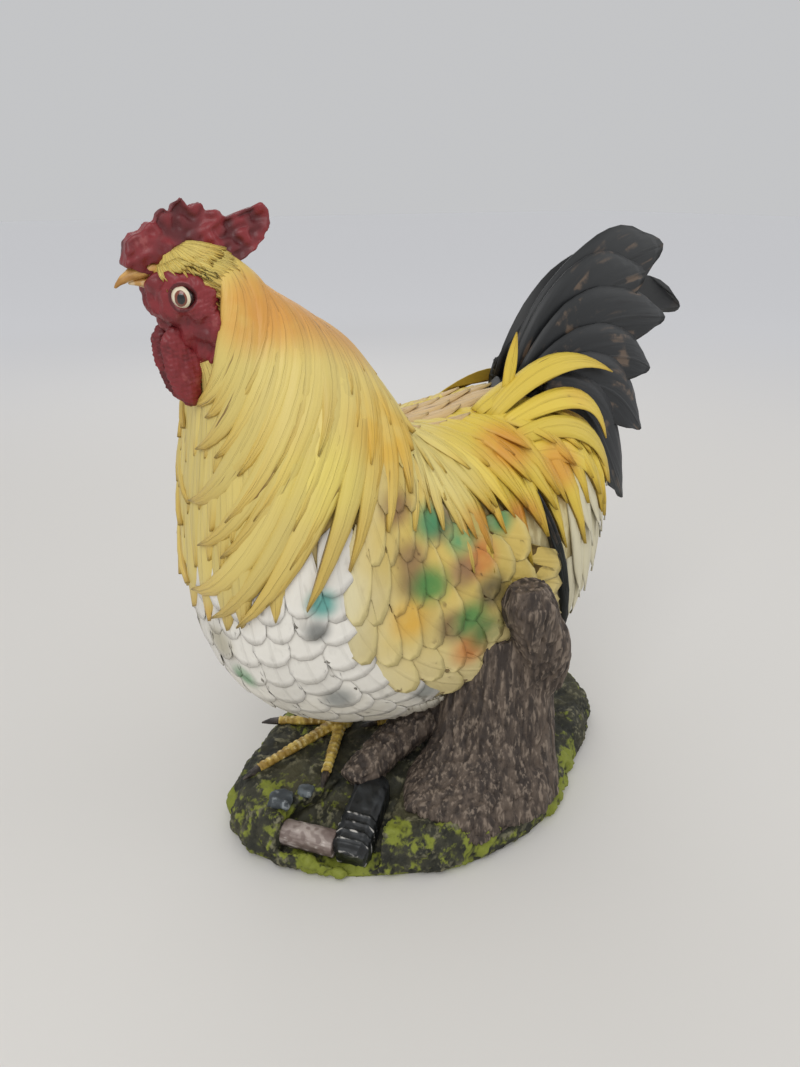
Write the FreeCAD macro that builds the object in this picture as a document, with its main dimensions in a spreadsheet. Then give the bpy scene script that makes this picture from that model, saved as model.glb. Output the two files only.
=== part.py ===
import FreeCAD, Part
import math
import os

# Garden rooster, cast in resin and painted, on a mossy base with a tree stump and a hatchet.
# Frame: +Z up, head towards -X, tail towards +X, the bird's left side faces -Y.
# The origin lies in the underside of the base, under its middle.

V = FreeCAD.Vector

# Named sizes in millimetres, one cell each, grouped by the piece that they belong to.
SIZES = (
    ("figure_length", 400.0, "length that the body's stations are shares of"),
    ("figure_height", 400.0, "height that the body's stations are shares of"),
    ("body_width", 176.0, "widest part of the body"),
    ("figure_offset", 20.0, "the bird stands this far beyond the middle of the base"),
    ("wall", 6.0, "wall of the hollow casting"),
    ("seat", 0.3, "clearance between pieces that lie on each other"),
    ("overrun", 4.0, "how far a raw piece or a cutter reaches into its neighbour"),
    ("base_length", 326.0, "base, along X"),
    ("base_width", 219.0, "base, along Y"),
    ("base_rim", 8.0, "height of the base's steep rim"),
    ("ground", 31.0, "top of the mound that the feet stand on"),
    ("shank_radius", 8.0, "scaled leg"),
    ("leg_spread", 17.0, "each leg stands this far from the bird's middle plane"),
    ("rod_radius", 3.0, "steel rod in each leg"),
    ("rod_length", 104.0, "steel rod, from the base up into the body"),
    ("rod_depth", 18.0, "how deep the rod stands in the base"),
    ("bore_clearance", 0.3, "play of a rod or dowel in its bore, on the radius"),
    ("toe_length", 80.0, "middle toe without its claw"),
    ("toe_radius", 5.2, "toe at its root"),
    ("ankle_height", 12.0, "height of the ankle where the toes meet"),
    ("claw_length", 14.0, "claw"),
    ("stump_radius", 39.0, "stump at mid height"),
    ("snag_radius", 21.0, "branch stub that rises along the flank"),
    ("root_radius", 14.0, "root that arches down towards the feet"),
    ("haft_radius", 9.0, "hatchet haft"),
    ("haft_length", 38.0, "hatchet haft, as far as it shows"),
    ("hatchet_length", 62.0, "hatchet head, poll to edge"),
    ("hatchet_height", 24.0, "hatchet head, along the haft"),
    ("hatchet_thickness", 20.0, "hatchet head at the poll"),
    ("comb_length", 83.0, "comb, front to the end of the rear lobe"),
    ("comb_height", 41.0, "comb, from its lowest root to the highest tooth"),
    ("comb_root", 15.0, "comb thickness where it stands on the head"),
    ("comb_tip", 5.0, "comb thickness at the teeth"),
    ("beak_length", 20.0, "beak beyond the face"),
    ("beak_width", 17.0, "beak at its root"),
    ("beak_depth", 15.0, "both halves of the beak together at the root"),
    ("eye_radius", 6.2, "eyeball at the lids"),
    ("eye_bulge", 2.6, "how far the eyeball stands out"),
    ("face_thickness", 3.2, "bare red skin round the eye"),
    ("wattle_thickness", 9.0, "wattle"),
    ("wattle_length", 46.0, "wattle, from the jaw down"),
    ("wattle_width", 27.0, "wattle, front to back"),
    ("hackle_thickness", 2.4, "neck feather"),
    ("breast_thickness", 2.0, "breast feather"),
    ("wing_thickness", 2.8, "wing feather"),
    ("saddle_thickness", 2.6, "saddle feather"),
    ("row_clearance", 0.4, "free height between one row of feathers and the row below"),
    ("tail_feather_length", 160.0, "longest tail feather"),
    ("tail_feather_width", 30.0, "tail feather at its widest"),
    ("tail_feather_thickness", 5.0, "tail feather at its shaft"),
    ("tail_core_width", 58.0, "block that the tail feathers stand in"),
    ("dowel_radius", 6.0, "dowel that pins the tail to the body"),
    ("dowel_length", 60.0, "dowel that pins the tail to the body"),
    ("hatchet_z", 7.0, "corner where haft and head meet, on the sloping ground"),
    ("hatchet_turn", 40.0, "direction of the hatchet head in plan, degrees"),
    ("hatchet_lean", 22.0, "slope of the ground under the hatchet, degrees"),
    ("hollow_length", 75.0, "hollow for the hatchet, along the head"),
    ("hollow_width", 71.0, "hollow for the hatchet, along the haft"),
    ("hollow_neck", 37.0, "hollow, its width at the root's end"),
    ("hollow_back", 15.0, "hollow, how far it opens outward past the haft"),
    ("hollow_side", 20.0, "hollow, how far it opens past the head"),
    ("stone_radius", 9.5, "larger stone"),
    ("stone_height", 6.5, "larger stone"),
    ("stone_step", 19.0, "from the larger stone to the smaller"),
    ("leg_reach", 42.0, "raw length of the shank above the ankle"),
    ("wattle_spread", 9.5, "each wattle's distance from the middle plane"),
)

DOC = FreeCAD.newDocument("garden_rooster")
SHEET = DOC.addObject("Spreadsheet::Sheet", "sizes")
for number, (alias, value, meaning) in enumerate(SIZES, start=1):
    SHEET.set("A%d" % number, meaning)
    SHEET.set("B%d" % number, str(value))
    SHEET.setAlias("B%d" % number, alias)
DOC.recompute()


# Places and heights that follow a driving size, as shares of it.
FOLLOWING_SHARES = {
    "right_leg_x": ("figure_length", -0.145),
    "left_leg_x": ("figure_length", 0.105),
    "stump_x": ("figure_length", 0.060),
    "stump_y": ("body_width", -0.295),
    "stump_height": ("figure_height", 0.220),
    "snag_height": ("figure_height", 0.465),
    "hatchet_x": ("base_length", -0.3206),
    "hatchet_y": ("base_width", -0.3014),
    "stone_x": ("base_length", -0.417),
    "stone_y": ("base_width", -0.0868),
    "tail_x": ("figure_length", 0.215),
    "tail_z": ("figure_height", 0.720),
    "comb_x": ("figure_length", -0.465),
    "comb_z": ("figure_height", 0.935),
    "beak_x": ("figure_length", -0.425),
    "beak_z": ("figure_height", 0.940),
    "wattle_x": ("figure_length", -0.400),
    "wattle_z": ("figure_height", 0.8775),
}


def mm(alias):
    """The size that the sheet holds under this name, or one that follows such a size."""
    if alias in FOLLOWING_SHARES:
        driver, share = FOLLOWING_SHARES[alias]
        return share * mm(driver)
    return float(getattr(SHEET, alias))


PARTS = []


def add_part(name, shape):
    """Put a finished solid into the document under its own name."""
    part = DOC.addObject("Part::Feature", name)
    part.Label = name
    part.Shape = shape
    part.Placement = FreeCAD.Placement()
    PARTS.append(part)
    return part


def figure(x, y, z):
    """A point of the bird: y is measured from the bird's own middle plane."""
    return V(x, mm("figure_offset") + y, z)


def facet_solid(points, triangles):
    """A closed solid with flat three-cornered faces."""
    shell = Part.Shape()
    shell.makeShapeFromMesh((points, triangles), mm("seat") / 1000.0)
    solid = Part.Solid(shell.Shells[0])
    if solid.Volume < 0:
        solid.reverse()
    return solid


def ring_solid(rings):
    """A closed solid through rings of points; a ring of one point is a tip."""
    points = []
    starts = []
    for ring in rings:
        starts.append(len(points))
        points.extend(ring)
    triangles = []
    for low, high, i, j in zip(rings, rings[1:], starts, starts[1:]):
        count = max(len(low), len(high))
        for k in range(count):
            n = (k + 1) % count
            if len(high) == 1:
                triangles.append((i + k, i + n, j))
            elif len(low) == 1:
                triangles.append((i, j + n, j + k))
            else:
                triangles.append((i + k, i + n, j + n))
                triangles.append((i + k, j + n, j + k))
    for ring, start, last in ((rings[0], starts[0], False), (rings[-1], starts[-1], True)):
        if len(ring) < 3:
            continue
        if len(ring) == 4:
            corners = [start + k for k in range(4)]
            if not last:
                corners.reverse()
            triangles.append((corners[0], corners[1], corners[2]))
            triangles.append((corners[0], corners[2], corners[3]))
            continue
        centre = V()
        for point in ring:
            centre = centre + point
        points.append(centre * (1.0 / len(ring)))
        hub = len(points) - 1
        for k in range(len(ring)):
            n = (k + 1) % len(ring)
            triangles.append((start + k, start + n, hub) if last else (start + n, start + k, hub))
    return facet_solid(points, triangles)


BAR_SIDES = 8
HAFT_SIDES = 12


def bar_bore(radius, length, placement):
    """The hole for an eight-sided bar, with its flats turned as the bar's are."""
    corners = [V(radius * math.cos(2 * math.pi * k / BAR_SIDES), radius * math.sin(2 * math.pi * k / BAR_SIDES), 0)
               for k in range(BAR_SIDES)]
    bore = Part.Face(Part.makePolygon(corners + corners[:1])).extrude(V(0, 0, length))
    bore.Placement = placement
    return bore


def add_bar(name, sides, radius, length, placement):
    """A straight bar bound to the named sizes of its radius and length."""
    bar = DOC.addObject("Part::Prism", name)
    bar.Label = name
    bar.Polygon = sides
    bar.setExpression("Circumradius", "sizes." + radius)
    bar.setExpression("Height", "sizes." + length)
    bar.Placement = placement
    PARTS.append(bar)


def largest(shape):
    """The one solid that matters after a cut that may leave crumbs."""
    return max(shape.Solids, key=lambda solid: solid.Volume)


# The bird's skin, from the rump along the body and up the neck to the crown.
# Each station is a slice from a point on the back to a point on the belly or breast.
# Columns: back x, back z, front x, front z as shares of length and height,
# then the half width as a share of the body's width, and where it is widest.
STATION_SHARES = (
    (0.375, 0.560, 0.325, 0.400, 0.12, 0.50),
    (0.345, 0.640, 0.290, 0.285, 0.29, 0.48),
    (0.262, 0.695, 0.225, 0.215, 0.41, 0.47),
    (0.150, 0.705, 0.140, 0.180, 0.48, 0.47),
    (0.030, 0.692, 0.010, 0.165, 0.50, 0.47),
    (-0.055, 0.690, -0.110, 0.165, 0.50, 0.48),
    (-0.085, 0.715, -0.250, 0.200, 0.47, 0.50),
    (-0.110, 0.760, -0.360, 0.295, 0.44, 0.52),
    (-0.140, 0.800, -0.402, 0.415, 0.41, 0.52),
    (-0.172, 0.838, -0.406, 0.540, 0.37, 0.50),
    (-0.212, 0.868, -0.395, 0.650, 0.31, 0.48),
    (-0.250, 0.895, -0.380, 0.745, 0.24, 0.46),
    (-0.285, 0.922, -0.380, 0.815, 0.185, 0.46),
    (-0.312, 0.950, -0.410, 0.870, 0.155, 0.48),
    (-0.338, 0.972, -0.435, 0.920, 0.135, 0.50),
    (-0.368, 0.982, -0.430, 0.955, 0.085, 0.50),
)
SKIN_POINTS = 16
SKIN_ROUND = 0.90
SKIN_AROUND = 30
SKIN_ALONG = 30
CAVITY_POINTS = 8
FACE_POINTS = 14
BASE_FOOT_SHARE = 0.97
FILL_SHARE = 0.95
ROW_PITCH_SHARE = 0.65
HACKLE_FRINGE_SHARE = 0.61
HACKLE_DIP_SHARE = 0.09
HACKLE_SWEEP_SHARE = 0.08
THROAT_SHARE = 0.900
NAPE_SHARE = 0.955
BREAST_START_SHARE = 0.022
BREAST_PITCH_SHARE = 0.042
BREAST_DRAW_SHARE = 0.10
BREAST_REACH_SHARES = (0.27, 0.205, 0.20, 0.19, 0.175)
HEM_ROOT_SHARE = 0.116
HEM_RISE_SHARE = 0.12
HEM_DROP_SHARE = 0.062
HEM_BACK_SHARE = 0.035
WING_START_SHARE = 0.585
WING_PITCH_SHARE = 0.050
WING_LEAN_SHARE = 0.35
WING_MIDDLE_SHARE = 0.28
WING_DROP_SHARE = 0.018
PRIMARY_START_SHARE = 0.347
PRIMARY_REACH_SHARE = 0.115
PRIMARY_LEAN_SHARE = 0.15
PRIMARY_DROP_SHARE = 0.025
RIDGE_START_SHARE = 0.50
RIDGE_PITCH_SHARE = 0.075
RIDGE_REACH_SHARE = 0.11
FLUFF_START_SHARE = 0.315
FLUFF_PITCH_SHARE = 0.085
FLUFF_REACH_SHARE = 0.13
FLUFF_BACK_SHARE = 0.03
WING_MARK_SHARES = (0.245, 0.335)
WING_STEP_SHARE = 0.012
PRIMARY_MARK_SHARES = (0.19, 0.29)
PRIMARY_HALF_SHARE = 0.0125
HEM_MARK_SHARES = (0.46, 0.26)
HEM_HALF_SHARE = 0.0143
RIDGE_MARK_SHARES = (0.47, 0.53)
RIDGE_HALF_SHARE = 0.015
FLUFF_MARK_SHARES = (0.19, 0.03)
FLUFF_HALF_SHARE = 0.020
LOWER_SADDLE_SHARES = (0.405, 0.12, 0.07)
LOWER_SADDLE_MARK_SHARES = (0.40, 0.13)
LOWER_SADDLE_HALF_SHARE = 0.019
UPPER_SADDLE_SHARES = (0.455, 0.12, 0.09)
UPPER_SADDLE_MARK_SHARES = (0.44, 0.20)
UPPER_SADDLE_HALF_SHARE = 0.020
TAIL_SPLAY_SHARE = 0.5
TAIL_CORE_LEAN = math.radians(30)
TAIL_CORE_SHARES = (
    (-0.16, -0.15, 0.08, 0.40), (0.0, -0.06, 0.11, 0.48), (0.13, 0.02, 0.10, 0.48), (0.22, 0.07, 0.07, 0.40),
)
COMB_STEP_SHARE = 0.35
HATCHET_SHARES = (
    (-0.11, 0.80, 0.80), (-0.04, 1.0, 1.0), (0.35, 1.0, 1.0), (0.68, 0.90, 1.0), (0.83, 0.66, 0.80), (0.90, 0.40, 0.42),
)
HATCHET_CORNER_SHARE = 0.35
EYE_AROUND = 0.171
EYE_ALONG = 0.960
FACE_AROUND_SHARE = 0.125
FACE_ALONG_SHARE = 0.026
FACE_JAW_SHARE = 1.4
EYE_SHARES = ((0.0, 1.0), (0.55, 1.0), (0.85, 0.75), (1.0, 0.25))
DOWEL_RISE_SHARE = 0.45


def slice_points(station, count, inset):
    """Points round one slice of the skin, drawn in by the inset."""
    back_x, back_z, front_x, front_z, half, widest = station
    back = V(back_x * mm("figure_length"), 0, back_z * mm("figure_height"))
    front = V(front_x * mm("figure_length"), 0, front_z * mm("figure_height"))
    line = (back - front).normalize()
    back = back - line * inset
    front = front + line * inset
    reach = half * mm("body_width") - inset
    middle = front + (back - front) * widest
    points = []
    for k in range(count):
        turn = 2 * math.pi * k / count
        up = math.copysign(abs(math.cos(turn)) ** SKIN_ROUND, math.cos(turn))
        out = math.copysign(abs(math.sin(turn)) ** SKIN_ROUND, math.sin(turn))
        end = front if up >= 0 else back
        place = middle + (end - middle) * abs(up)
        points.append(figure(place.x, -reach * out, place.z))
    return points


def closed_curve(points):
    """A smooth closed curve that all slices share the knots of."""
    curve = Part.BSplineCurve()
    knots = [k / len(points) for k in range(len(points) + 1)]
    curve.interpolate(Points=points, PeriodicFlag=True, Parameters=knots)
    return Part.Wire([curve.toShape()])


SKIN_LOFT = Part.makeLoft([closed_curve(slice_points(s, SKIN_POINTS, 0)) for s in STATION_SHARES], True, False)
SKIN_FACE = max(SKIN_LOFT.Faces, key=lambda face: face.Area)
SKIN = SKIN_FACE.Surface


def skin(around, along, height=0.0):
    """A point on the skin, or above it.

    around runs from the breast line (0) over the left side (0.25) to the back (0.5),
    along runs from the rump (0) to the crown (1).
    """
    u = around % 1.0
    v = min(max(along, 0.0), 1.0)
    return SKIN.value(u, v) + SKIN.normal(u, v) * height


def build_core():
    """The outside of the hollow casting as one closed body of flat facets."""
    rings = []
    for j in range(SKIN_ALONG + 1):
        rings.append([skin(i / SKIN_AROUND, j / SKIN_ALONG) for i in range(SKIN_AROUND)])
    return ring_solid(rings)


def build_cavity():
    """The hollow inside the body and the neck."""
    return ring_solid([slice_points(station, CAVITY_POINTS, mm("wall")) for station in STATION_SHARES[1:-3]])


# Outline of the base: x as a share of its length, y as a share of its width.
BASE_OUTLINE_SHARES = (
    (-0.509, 0.000), (-0.506, -0.105), (-0.466, -0.201), (-0.414, -0.292), (-0.356, -0.361), (-0.270, -0.429),
    (-0.184, -0.493), (-0.092, -0.516), (0.031, -0.511), (0.138, -0.470), (0.236, -0.361), (0.347, -0.265),
    (0.442, -0.155), (0.485, -0.023), (0.475, 0.114), (0.423, 0.251), (0.322, 0.365), (0.184, 0.447),
    (0.015, 0.484), (-0.153, 0.466), (-0.291, 0.374), (-0.383, 0.260), (-0.451, 0.183), (-0.491, 0.100),
)
# Rings of the mound: height as a share of the ground height above the rim, and size as a share of the outline.
MOUND_SHARES = ((0.0, 1.0), (0.45, 0.975), (1.0, 0.91))


def build_base():
    """The mossy mound, with a sloping hollow where the hatchet lies."""
    def ring(z, share):
        return [V(x * mm("base_length") * share, y * mm("base_width") * share, z) for x, y in BASE_OUTLINE_SHARES]
    rings = [ring(0, BASE_FOOT_SHARE)]
    rise = mm("ground") - mm("base_rim")
    rings.extend(ring(mm("base_rim") + rise * up, share) for up, share in MOUND_SHARES)
    mound = ring_solid(rings)
    back = -mm("hollow_back")
    side = -mm("hollow_side")
    inner = back + mm("hollow_length")
    shoulder = mm("haft_radius") + mm("seat")
    corners = [V(back, side, 0), V(inner, side, 0), V(inner, side + mm("hollow_neck"), 0),
               V(shoulder, side + mm("hollow_width"), 0), V(back, side + mm("hollow_width"), 0)]
    hollow = Part.Face(Part.makePolygon(corners + corners[:1])).extrude(V(0, 0, mm("ground")))
    hollow.Placement = hatchet_frame(0, 0, 0)
    return mound.cut(hollow)


def hatchet_frame(forward, sideways, height):
    """Placement in the hatchet's own frame: X along the head, Y along the haft, Z off the sloping ground."""
    lean = FreeCAD.Rotation(V(0, 1, 0), -mm("hatchet_lean"))
    turn = FreeCAD.Rotation(V(0, 0, 1), mm("hatchet_turn"))
    frame = FreeCAD.Placement(V(mm("hatchet_x"), mm("hatchet_y"), mm("hatchet_z")), turn.multiply(lean))
    return frame.multiply(FreeCAD.Placement(V(forward, sideways, height), FreeCAD.Rotation()))


def build_hatchet_head():
    """Poll and blade in one wedge, on its side on the sloping ground, pressed against the root."""
    half = mm("hatchet_height") / 2
    length = mm("hatchet_length")
    rings = []
    for along, high, wide in HATCHET_SHARES:
        thick = mm("hatchet_thickness") * high
        reach = half * wide
        corner = reach * HATCHET_CORNER_SHARE
        ring = [(-reach, 0), (reach, 0), (reach, thick - corner), (reach - corner, thick),
                (-reach + corner, thick), (-reach, thick - corner)]
        rings.append([hatchet_frame(along * length, y, mm("seat") + z).Base for y, z in ring])
    return ring_solid(rings)


STONE_SHARES = ((0.0, 1.0, 4), (1.0, 0.68, 3))
STONE_RING_SHARES = ((-0.5, 0.7), (0.2, 1.0), (0.75, 0.92), (1.0, 0.6))


def build_stones():
    """Two flat stones on the moss, with their lower halves sunk in it."""
    stones = []
    for shift, size, lobes in STONE_SHARES:
        rings = []
        for up, wide in STONE_RING_SHARES:
            radius = mm("stone_radius") * size * wide
            rings.append(lobed_ring(mm("stone_x") + shift * mm("stone_step"), mm("stone_y"),
                                    mm("ground") + up * mm("stone_height") * size, radius, radius, 8, lobes, 0.12, up))
        stones.append(ring_solid(rings))
    return stones


def lobed_ring(x, y, z, radius_x, radius_y, count, lobes, depth, phase):
    """A level ring whose radius swells and narrows like split wood."""
    ring = []
    for k in range(count):
        turn = 2 * math.pi * k / count
        swell = 1 + depth * math.cos(lobes * turn + phase)
        ring.append(V(x + radius_x * swell * math.cos(turn), y + radius_y * swell * math.sin(turn), z))
    return ring


# Rings of the stump: height share, centre x and y shares of its radius, radius x and y shares.
STUMP_SHARES = (
    (-0.15, -0.75, -0.55, 1.74, 1.08), (0.06, -0.66, -0.48, 1.60, 1.00), (0.20, -0.40, -0.36, 1.36, 0.92),
    (0.42, -0.14, -0.20, 1.20, 0.88), (0.68, -0.04, -0.06, 1.14, 0.86), (0.95, 0.04, 0.06, 1.10, 0.86),
    (1.25, 0.06, 0.12, 1.06, 0.84),
)


def build_stump():
    rings = []
    for up, shift_x, shift_y, wide_x, wide_y in STUMP_SHARES:
        radius = mm("stump_radius")
        rings.append(lobed_ring(mm("stump_x") + shift_x * radius, mm("stump_y") + shift_y * radius,
                                mm("ground") + up * mm("stump_height"), wide_x * radius, wide_y * radius,
                                16, 6, 0.045, up))
    return ring_solid(rings)


# Rings of the branch stub: share of the height, centre x and y in radii from the stump, size share.
SNAG_SHARES = (
    (0.40, 0.45, -0.35, 0.80), (0.52, 0.95, -0.85, 1.05), (0.66, 0.80, -1.28, 1.02),
    (0.80, 0.24, -1.52, 0.98), (0.93, -0.26, -1.60, 0.96), (1.0, -0.42, -1.60, 0.62),
)


def build_snag():
    rings = []
    for up, shift_x, shift_y, size in SNAG_SHARES:
        radius = mm("snag_radius")
        rings.append(lobed_ring(mm("stump_x") + shift_x * radius, mm("stump_y") + shift_y * radius,
                                up * mm("snag_height"), size * radius, size * radius * 0.85, 10, 5, 0.05, up))
    return ring_solid(rings)


def tube_rings(path, radii, count, flat=1.0):
    """Rings square to a path, each with its own radius."""
    rings = []
    for k, centre in enumerate(path):
        ahead = path[min(k + 1, len(path) - 1)] - path[max(k - 1, 0)]
        side = ahead.cross(V(0, 0, 1))
        if side.Length < mm("seat"):
            side = V(0, 1, 0)
        side.normalize()
        up = side.cross(ahead).normalize()
        ring = []
        for i in range(count):
            turn = 2 * math.pi * i / count
            ring.append(centre + side * (radii[k] * math.cos(turn)) + up * (radii[k] * flat * math.sin(turn)))
        rings.append(ring)
    return rings


# Path of the root: x and y in stump radii from the stump centre, z share of the stump height, radius share.
ROOT_SHARES = (
    (0.00, 0.55, 0.46, 1.1), (-0.75, 0.72, 0.38, 1.05), (-1.50, 0.76, 0.27, 1.0),
    (-2.20, 0.66, 0.15, 0.95), (-2.80, 0.55, 0.02, 0.85),
)


def build_root():
    radius = mm("stump_radius")
    path = [V(mm("stump_x") + x * radius, mm("stump_y") + y * radius, mm("ground") + up * mm("stump_height"))
            for x, y, up, size in ROOT_SHARES]
    return ring_solid(tube_rings(path, [row[3] * mm("root_radius") for row in ROOT_SHARES], 8))


# Profiles along a feather: distance from the root, width and thickness, all as shares.
HACKLE_PROFILE_SHARES = ((0.0, 0.62, 0.35), (0.40, 0.96, 0.85), (0.70, 0.92, 1.0), (0.90, 0.46, 0.9))
SCALE_PROFILE_SHARES = ((0.0, 0.80, 0.35), (0.50, 1.0, 0.95), (0.86, 0.74, 1.0))
TIP_SHARE = 0.5
EDGE_SHARE = 0.3


def feather_row(place, marks, half_step, profile, thickness, pitch_share, base=0.0, rooted=False):
    """Feathers laid on the skin like tiles.

    place(mark, t) gives the skin place of the shaft at t, from the root (0) to the tip (1).
    The feathers rise towards their tips so that they clear the roots of the next row.
    Rooted feathers reach down through the skin: they cut what stands against the bird.
    """
    lift = (thickness + mm("row_clearance")) / pitch_share
    feathers = []
    for mark in marks:
        rings = []
        for t, wide, thick in profile:
            under = mm("seat") + base + lift * t
            edge = under + thickness * thick * EDGE_SHARE
            reach = half_step * FILL_SHARE * wide
            rings.append([skin(*place(mark - reach, t), edge), skin(*place(mark, t), under + thickness * thick),
                          skin(*place(mark + reach, t), edge),
                          skin(*place(mark, t), -mm("overrun") if rooted else under)])
        end = mm("seat") + base + lift + thickness * TIP_SHARE
        rings.append([skin(*place(mark, 1.0), end)])
        feathers.append(ring_solid(rings))
    return feathers


def spread(first, last, count):
    """Evenly spaced marks from the first to the last."""
    return [first + (last - first) * k / (count - 1) for k in range(count)]


def mirrored(place):
    """The same layout on the bird's right side."""
    def other(mark, t):
        around, along = place(mark, t)
        return -around, along
    return other


def fringe(mark):
    """Where the neck feathers end: lower on the breast than on the back."""
    return HACKLE_FRINGE_SHARE + HACKLE_DIP_SHARE * math.cos(2 * math.pi * mark)


def hackle_reach(mark, shift, reach):
    """Length of a neck feather along the skin, less where the face or the crown begins."""
    ceiling = THROAT_SHARE + (NAPE_SHARE - THROAT_SHARE) * math.sin(math.pi * mark) ** 2
    return min(reach, ceiling - fringe(mark) - shift)


def hackle_place(shift, reach):
    """Neck feathers hang from the nape and sweep forward over the shoulder."""
    def place(mark, t):
        around = mark + HACKLE_SWEEP_SHARE * math.sin(2 * math.pi * mark) * (1 - t) ** 1.3
        return around, fringe(mark) + shift + hackle_reach(mark, shift, reach) * (1 - t)
    return place


def breast_place(row):
    def place(mark, t):
        down = BREAST_PITCH_SHARE * (row + t / ROW_PITCH_SHARE)
        return mark * (1 - BREAST_DRAW_SHARE * t), fringe(mark) + BREAST_START_SHARE - down
    return place


def hem_place(mark, t):
    root = HEM_ROOT_SHARE + HEM_RISE_SHARE * (0.5 - mark)
    return root - HEM_DROP_SHARE * t, mark - HEM_BACK_SHARE * t


def wing_place(row):
    def place(mark, t):
        lean = WING_LEAN_SHARE * (mark - WING_MIDDLE_SHARE)
        down = WING_PITCH_SHARE * (row + t / ROW_PITCH_SHARE)
        return mark - WING_DROP_SHARE * t, WING_START_SHARE - down + lean
    return place


def primary_place(mark, t):
    lean = PRIMARY_LEAN_SHARE * (mark - WING_MIDDLE_SHARE)
    return mark - PRIMARY_DROP_SHARE * t, PRIMARY_START_SHARE - PRIMARY_REACH_SHARE * t + lean


def saddle_place(root, drop, back):
    def place(mark, t):
        return root - drop * t ** 1.2, mark - back * t
    return place


def back_place(row):
    def place(mark, t):
        return mark, RIDGE_START_SHARE - RIDGE_PITCH_SHARE * row - RIDGE_REACH_SHARE * t
    return place


def fluff_place(row):
    def place(mark, t):
        return FLUFF_START_SHARE - FLUFF_PITCH_SHARE * row - FLUFF_REACH_SHARE * t, mark - FLUFF_BACK_SHARE * t
    return place


# Tail feathers, from the middle of the fan outward.
# Columns: bend x and z, tip x and z as shares of the longest feather, and width share.
TAIL_SHARES = (
    (0.20, 0.44, 0.82, 0.575, 1.0), (0.15, 0.36, 0.66, 0.47, 1.0), (0.30, 0.36, 0.78, 0.25, 0.95),
    (0.34, 0.20, 0.66, 0.03, 0.90), (0.36, 0.08, 0.60, -0.24, 0.85), (0.30, -0.06, 0.46, -0.56, 0.85),
)
SICKLE_SHARES = (0.42, 0.52, 1.07, 0.245, 0.60)
TAIL_PROFILE_SHARES = (
    (0.0, 0.45, 1.0), (0.2, 0.70, 1.0), (0.4, 0.90, 0.95), (0.6, 1.0, 0.85), (0.8, 0.92, 0.7), (0.93, 0.66, 0.5),
)


def tail_feather(layer, side, row):
    """One broad feather of the fan, standing on edge in its own layer."""
    bend_x, bend_z, tip_x, tip_z, wide = row
    length = mm("tail_feather_length")
    root = V(mm("tail_x"), 0, mm("tail_z"))
    bend = root + V(bend_x * length, 0, bend_z * length)
    tip = root + V(tip_x * length, 0, tip_z * length)
    thickness = mm("tail_feather_thickness")
    pitch = thickness + mm("seat")
    rings = []
    for t, width, thick in TAIL_PROFILE_SHARES + ((1.0, 0.0, 0.0),):
        centre = root * (1 - t) ** 2 + bend * (2 * t * (1 - t)) + tip * t ** 2
        ahead = ((bend - root) * (1 - t) + (tip - bend) * t).normalize()
        square = V(-ahead.z, 0, ahead.x)
        y = side * pitch * (layer + 0.5) * (1 + TAIL_SPLAY_SHARE * t)
        middle = figure(centre.x, y, centre.z)
        if width == 0.0:
            rings.append([middle])
            continue
        across = square * (mm("tail_feather_width") * wide * width / 2)
        out = V(0, thickness * thick / 2, 0)
        rings.append([middle + across, middle + out, middle - across, middle - out])
    return ring_solid(rings)


def build_tail_core():
    """The block at the root of the tail that the feathers stand in."""
    rings = []
    for x, z, high, wide in TAIL_CORE_SHARES:
        length = mm("tail_feather_length")
        centre = figure(mm("tail_x") + x * length, 0, mm("tail_z") + z * length)
        ring = []
        for k in range(12):
            turn = 2 * math.pi * k / 12
            lean = V(-math.sin(TAIL_CORE_LEAN), 0, math.cos(TAIL_CORE_LEAN))
            ring.append(centre + lean * (high * length * math.cos(turn))
                        + V(0, wide * mm("tail_core_width") * math.sin(turn), 0))
        rings.append(ring)
    return ring_solid(rings)


# The comb seen from the side: x as a share of its length from the front, z as a share of its height.
COMB_OUTLINE_SHARES = (
    (0.0, 0.21), (0.028, 0.49), (0.08, 0.57), (0.13, 0.58), (0.15, 0.65), (0.20, 0.71), (0.22, 0.69),
    (0.24, 0.80), (0.296, 0.89), (0.325, 0.83), (0.357, 0.94), (0.42, 1.0), (0.46, 0.86), (0.494, 0.90),
    (0.543, 0.945), (0.57, 0.82), (0.66, 0.84), (0.70, 0.75), (0.83, 0.84), (0.957, 0.93), (1.0, 0.85),
    (1.0, 0.69), (0.953, 0.49), (0.855, 0.31), (0.733, 0.18), (0.55, 0.05), (0.30, 0.0), (0.08, 0.12),
)


def build_comb():
    """A single comb: a fleshy plate, thick at its root and thin at its teeth."""
    def outline(y):
        points = [figure(mm("comb_x") + x * mm("comb_length"), y, mm("comb_z") + z * mm("comb_height"))
                  for x, z in COMB_OUTLINE_SHARES]
        return Part.Face(Part.makePolygon(points + points[:1]))
    half = mm("comb_root") / 2
    plate = outline(-half).extrude(V(0, 2 * half, 0))
    low = mm("comb_z")
    high = mm("comb_z") + mm("comb_height")
    taper = [figure(0, -half, low), figure(0, -half, low + mm("comb_height") * COMB_STEP_SHARE),
             figure(0, -mm("comb_tip") / 2, high + mm("overrun")), figure(0, mm("comb_tip") / 2, high + mm("overrun")),
             figure(0, half, low + mm("comb_height") * COMB_STEP_SHARE), figure(0, half, low)]
    wedge = Part.Face(Part.makePolygon(taper + taper[:1])).extrude(V(mm("comb_length") + 2 * mm("overrun"), 0, 0))
    wedge.translate(V(mm("comb_x") - mm("overrun"), 0, 0))
    return largest(plate.common(wedge).cut(CORE))


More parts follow.
